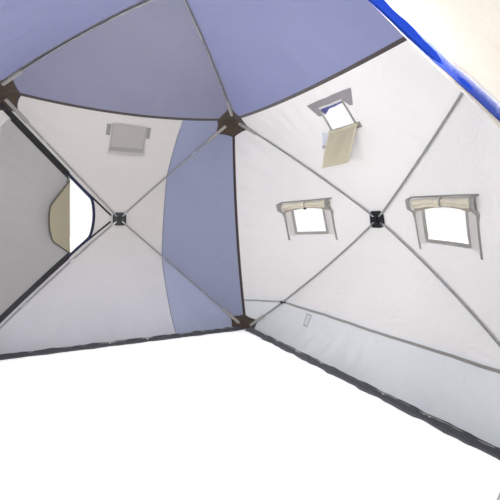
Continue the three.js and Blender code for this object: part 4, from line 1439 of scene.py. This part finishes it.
# ---------------------------------------------------------------- hub straps and patches
for key, wall in WALLS.items():
    line = [wall.hub + wall.across * (0.052 * math.cos(t)) - wall.upward * 0.010
            + wall.normal * (0.012 + 0.030 * max(0, math.sin(t)))
            for t in np.linspace(-0.15, 1.15, 28) * math.pi]
    ride(tube(f"pull_strap_{key}", line, 0.0042, STRAP, sides=8), f"hub_{key}")
    name, patch_out = f"hub_patch_outer_{key}", 0.0028
    points, triangles = flat_mesh(ring(0.075, 8, math.pi / 8), [ring(HUB_HOLE, 12)], 0.014)
    sway(closed_sheet(name, wall.lift(points, patch_out), wall.normal, triangles, 0.0016,
                      STRAP))


# ---------------------------------------------------------------- rolled door of wall c
def rolled_door(wall):
    """The door rolled up outside, along the edge shared with wall d, with three ties."""
    facet, start, end, count = 3, 0.13, 0.87, 90
    ties = (0.22, 0.50, 0.78)
    u = np.linspace(start, end, count)
    line = wall.surf(facet, 1.0, u) + wall.normal * 0.074 + vec(-0.046, 0, 0)
    taper = clip01(np.minimum(u - start, end - u) / 0.012) ** 0.5
    radius = 0.0375 + 0.0018 * np.sin(u * 61) + 0.0012 * np.sin(u * 131 + 1)
    radius = radius * (0.80 + 0.20 * taper)
    for t in ties:
        radius = radius * (1 - 0.20 * np.exp(-((u - t) / 0.012) ** 2))
    piece = tube("door_roll_cloth", line, radius, BLUE_CLOTH, sides=28)
    ride(piece, "root")
    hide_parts("door_roll_c")

    def axes(k):
        """The roll's heading at point k, and the way sideways from it."""
        heading = unit(line[min(k + 1, count - 1)] - line[max(k - 1, 0)])
        return heading, unit(np.cross(heading, wall.normal))

    edge = [line[k] + axes(k)[1] * radius[k] * 0.62 + wall.normal * radius[k] * 0.80
            for k in range(count)]
    ride(tube("door_roll_edge", edge, 0.0055, BLUE_TRIM, sides=8), "root")
    for q, t in enumerate(ties):
        k = int(np.argmin(np.abs(u - t)))
        heading, sideways = axes(k)
        outward = np.cross(heading, sideways)
        loop = [line[k] + (sideways * math.cos(a) + outward * math.sin(a))
                * (radius[k] + 0.0022) for a in np.linspace(0, 2 * math.pi, 29)]
        ride(tube(f"door_roll_tie_{q + 1}", loop, 0.0042, STRAP, sides=8, cap=False),
             "root")
        hanger = [line[k] - wall.normal * 0.032,
                  line[k] - wall.normal * 0.050 + vec(0.012, 0, 0),
                  wall.surf(facet, 0.985, t) + wall.normal * 0.004]
        ride(tube(f"door_roll_loop_{q + 1}", hanger, 0.004, STRAP, sides=8), "root")


def doorway_tapes(wall, level):
    gap = ZIP_GAP - 0.009
    path = [DOOR_C.at(level, FOLD_A, gap),
            DOOR_C.along(level, DOOR_C.length[level] - 0.19, gap)]
    sway(ribbon(f"doorway_tape_{level}", wall, path, 0.019, BLACK, out=-0.0036))
    sway(ribbon(f"doorway_trim_outer_{level}", wall, path, 0.034, BLUE_TRIM, out=0.0034,
                thick=0.0016))


def doorway_roll(wall, level):
    """A soft glossy roll pressed flat on the wall, beyond the rod from the doorway, with two
    narrow bands next to it."""
    sides = 18
    s = np.linspace(0.085, DOOR_C.length[level] - 0.19, 80)

    def path(gap):
        return np.array([DOOR_C.along(level, q, -gap) for q in s])

    radius = 0.0125 + 0.0009 * np.sin(s * 47) + 0.0006 * np.sin(s * 101)
    line = wall.lift(path(0.087)) + wall.normal * (radius * 0.36 + 0.0008)[:, None]
    piece = tube(f"doorway_blue_roll_{level}", line, radius, GLOSS, sides=sides)
    for vertex in piece.data.vertices:
        place = vec(*vertex.co)
        height = (place - line[vertex.index // sides]) @ wall.normal
        vertex.co = Vector(place - wall.normal * height * 0.64)
    piece.data.update()
    sway(piece)
    sway(ribbon(f"doorway_grey_line_{level}", wall, path(0.106), 0.005, SEAM_ROOF,
                step=0.03, out=0.0030, thick=0.0010))
    sway(ribbon(f"doorway_white_strip_{level}", wall, path(0.118), 0.014, WHITE_STRIP,
                step=0.03, out=0.0026, thick=0.0010))


rolled_door(wall_c)
for level in ("upper", "lower"):
    doorway_tapes(wall_c, level)
for level in ("upper", "lower"):
    doorway_roll(wall_c, level)
arc = DOOR_C.arc(ZIP_GAP - 0.009)
sway(ribbon("doorway_arc_tape", wall_c, arc, 0.020, BLACK, step=0.012, out=-0.0036))
sway(ribbon("doorway_arc_trim_outer", wall_c, arc, 0.026, BLUE_TRIM, step=0.012,
            out=0.0034, thick=0.0014))


# ---------------------------------------------------------------- stage, light and camera
def stage_floor():
    """Snow white to the eye, without lighting the tent more than a plain floor would."""
    white = (0.90, 0.90, 0.90, 1)
    bpy.ops.mesh.primitive_plane_add(size=60, location=(0, 0, -0.0008))
    floor = bpy.context.object
    floor.name = "stage_floor"
    material = bpy.data.materials.new("stage_floor")
    material.use_nodes = True
    tree = material.node_tree
    surface = tree.nodes["Principled BSDF"]
    surface.inputs["Base Color"].default_value = white
    surface.inputs["Roughness"].default_value = 0.9
    ray = tree.nodes.new("ShaderNodeLightPath")
    glow = tree.nodes.new("ShaderNodeMath")
    glow.operation = "MULTIPLY"
    glow.inputs[1].default_value = 0.6
    tree.links.new(ray.outputs["Is Camera Ray"], glow.inputs[0])
    tree.links.new(glow.outputs[0], surface.inputs["Emission Strength"])
    surface.inputs["Emission Color"].default_value = white
    floor.data.materials.append(material)


def area(name, place, target, size, power, colour=(1, 1, 1)):
    light = bpy.data.lights.new(name, "AREA")
    light.energy, light.color, light.size = power, colour, size
    lamp = bpy.data.objects.new(name, light)
    lamp.location = place
    heading = Vector(target) - Vector(place)
    lamp.rotation_euler = heading.to_track_quat("-Z", "Y").to_euler()
    lamp.visible_camera = False
    bpy.context.scene.collection.objects.link(lamp)


def camera(place, pitch, yaw, roll, lens):
    """Yaw turns from +X towards +Y. Angles are in degrees, the lens in millimetres."""
    data = bpy.data.cameras.new("camera")
    data.sensor_width = 36.0
    data.lens = lens
    data.clip_start, data.clip_end = 0.676, 100
    made = bpy.data.objects.new("camera", data)
    bpy.context.scene.collection.objects.link(made)
    pitch, yaw, roll = math.radians(pitch), math.radians(yaw), math.radians(roll)
    forward = vec(math.cos(pitch) * math.cos(yaw), math.cos(pitch) * math.sin(yaw),
                  math.sin(pitch))
    level = unit(np.cross(forward, vec(0, 0, 1)))
    right = level * math.cos(roll) + np.cross(level, forward) * math.sin(roll)
    made.matrix_world = frame_at(place, right, -forward)
    bpy.context.scene.camera = made


stage_floor()
area("key_outside", (-5.5, 2.0, 5.5), (0, 0, 1.0), size=5.0, power=520,
     colour=(1.0, 0.99, 0.975))
area("fill_outside", (5.0, -4.0, 4.5), (0, 0, 1.0), size=3.5, power=330,
     colour=(0.97, 0.98, 1.0))
area("fill_back", (3.5, 6.0, 4.0), (0, 0, 1.0), size=4.0, power=55)
area("inside_soft", (0.40, 1.45, 1.15), (-1.0, 0.35, 1.25), size=0.8, power=24)
area("inside_far", (0.30, 0.60, 1.00), (-0.1, -1.7, 1.3), size=0.8, power=23)

world = bpy.context.scene.world or bpy.data.worlds.new("World")
bpy.context.scene.world = world
world.use_nodes = True
nodes = world.node_tree.nodes
background = nodes.get("Background") or nodes.new("ShaderNodeBackground")
background.inputs[0].default_value = (1, 1, 1, 1)
background.inputs[1].default_value = 1.0

camera(place=(0.708, 2.219, 1.093), pitch=-3.631, yaw=-117.264, roll=0.329, lens=30.0744)
bpy.context.scene.view_settings.view_transform = "Standard"
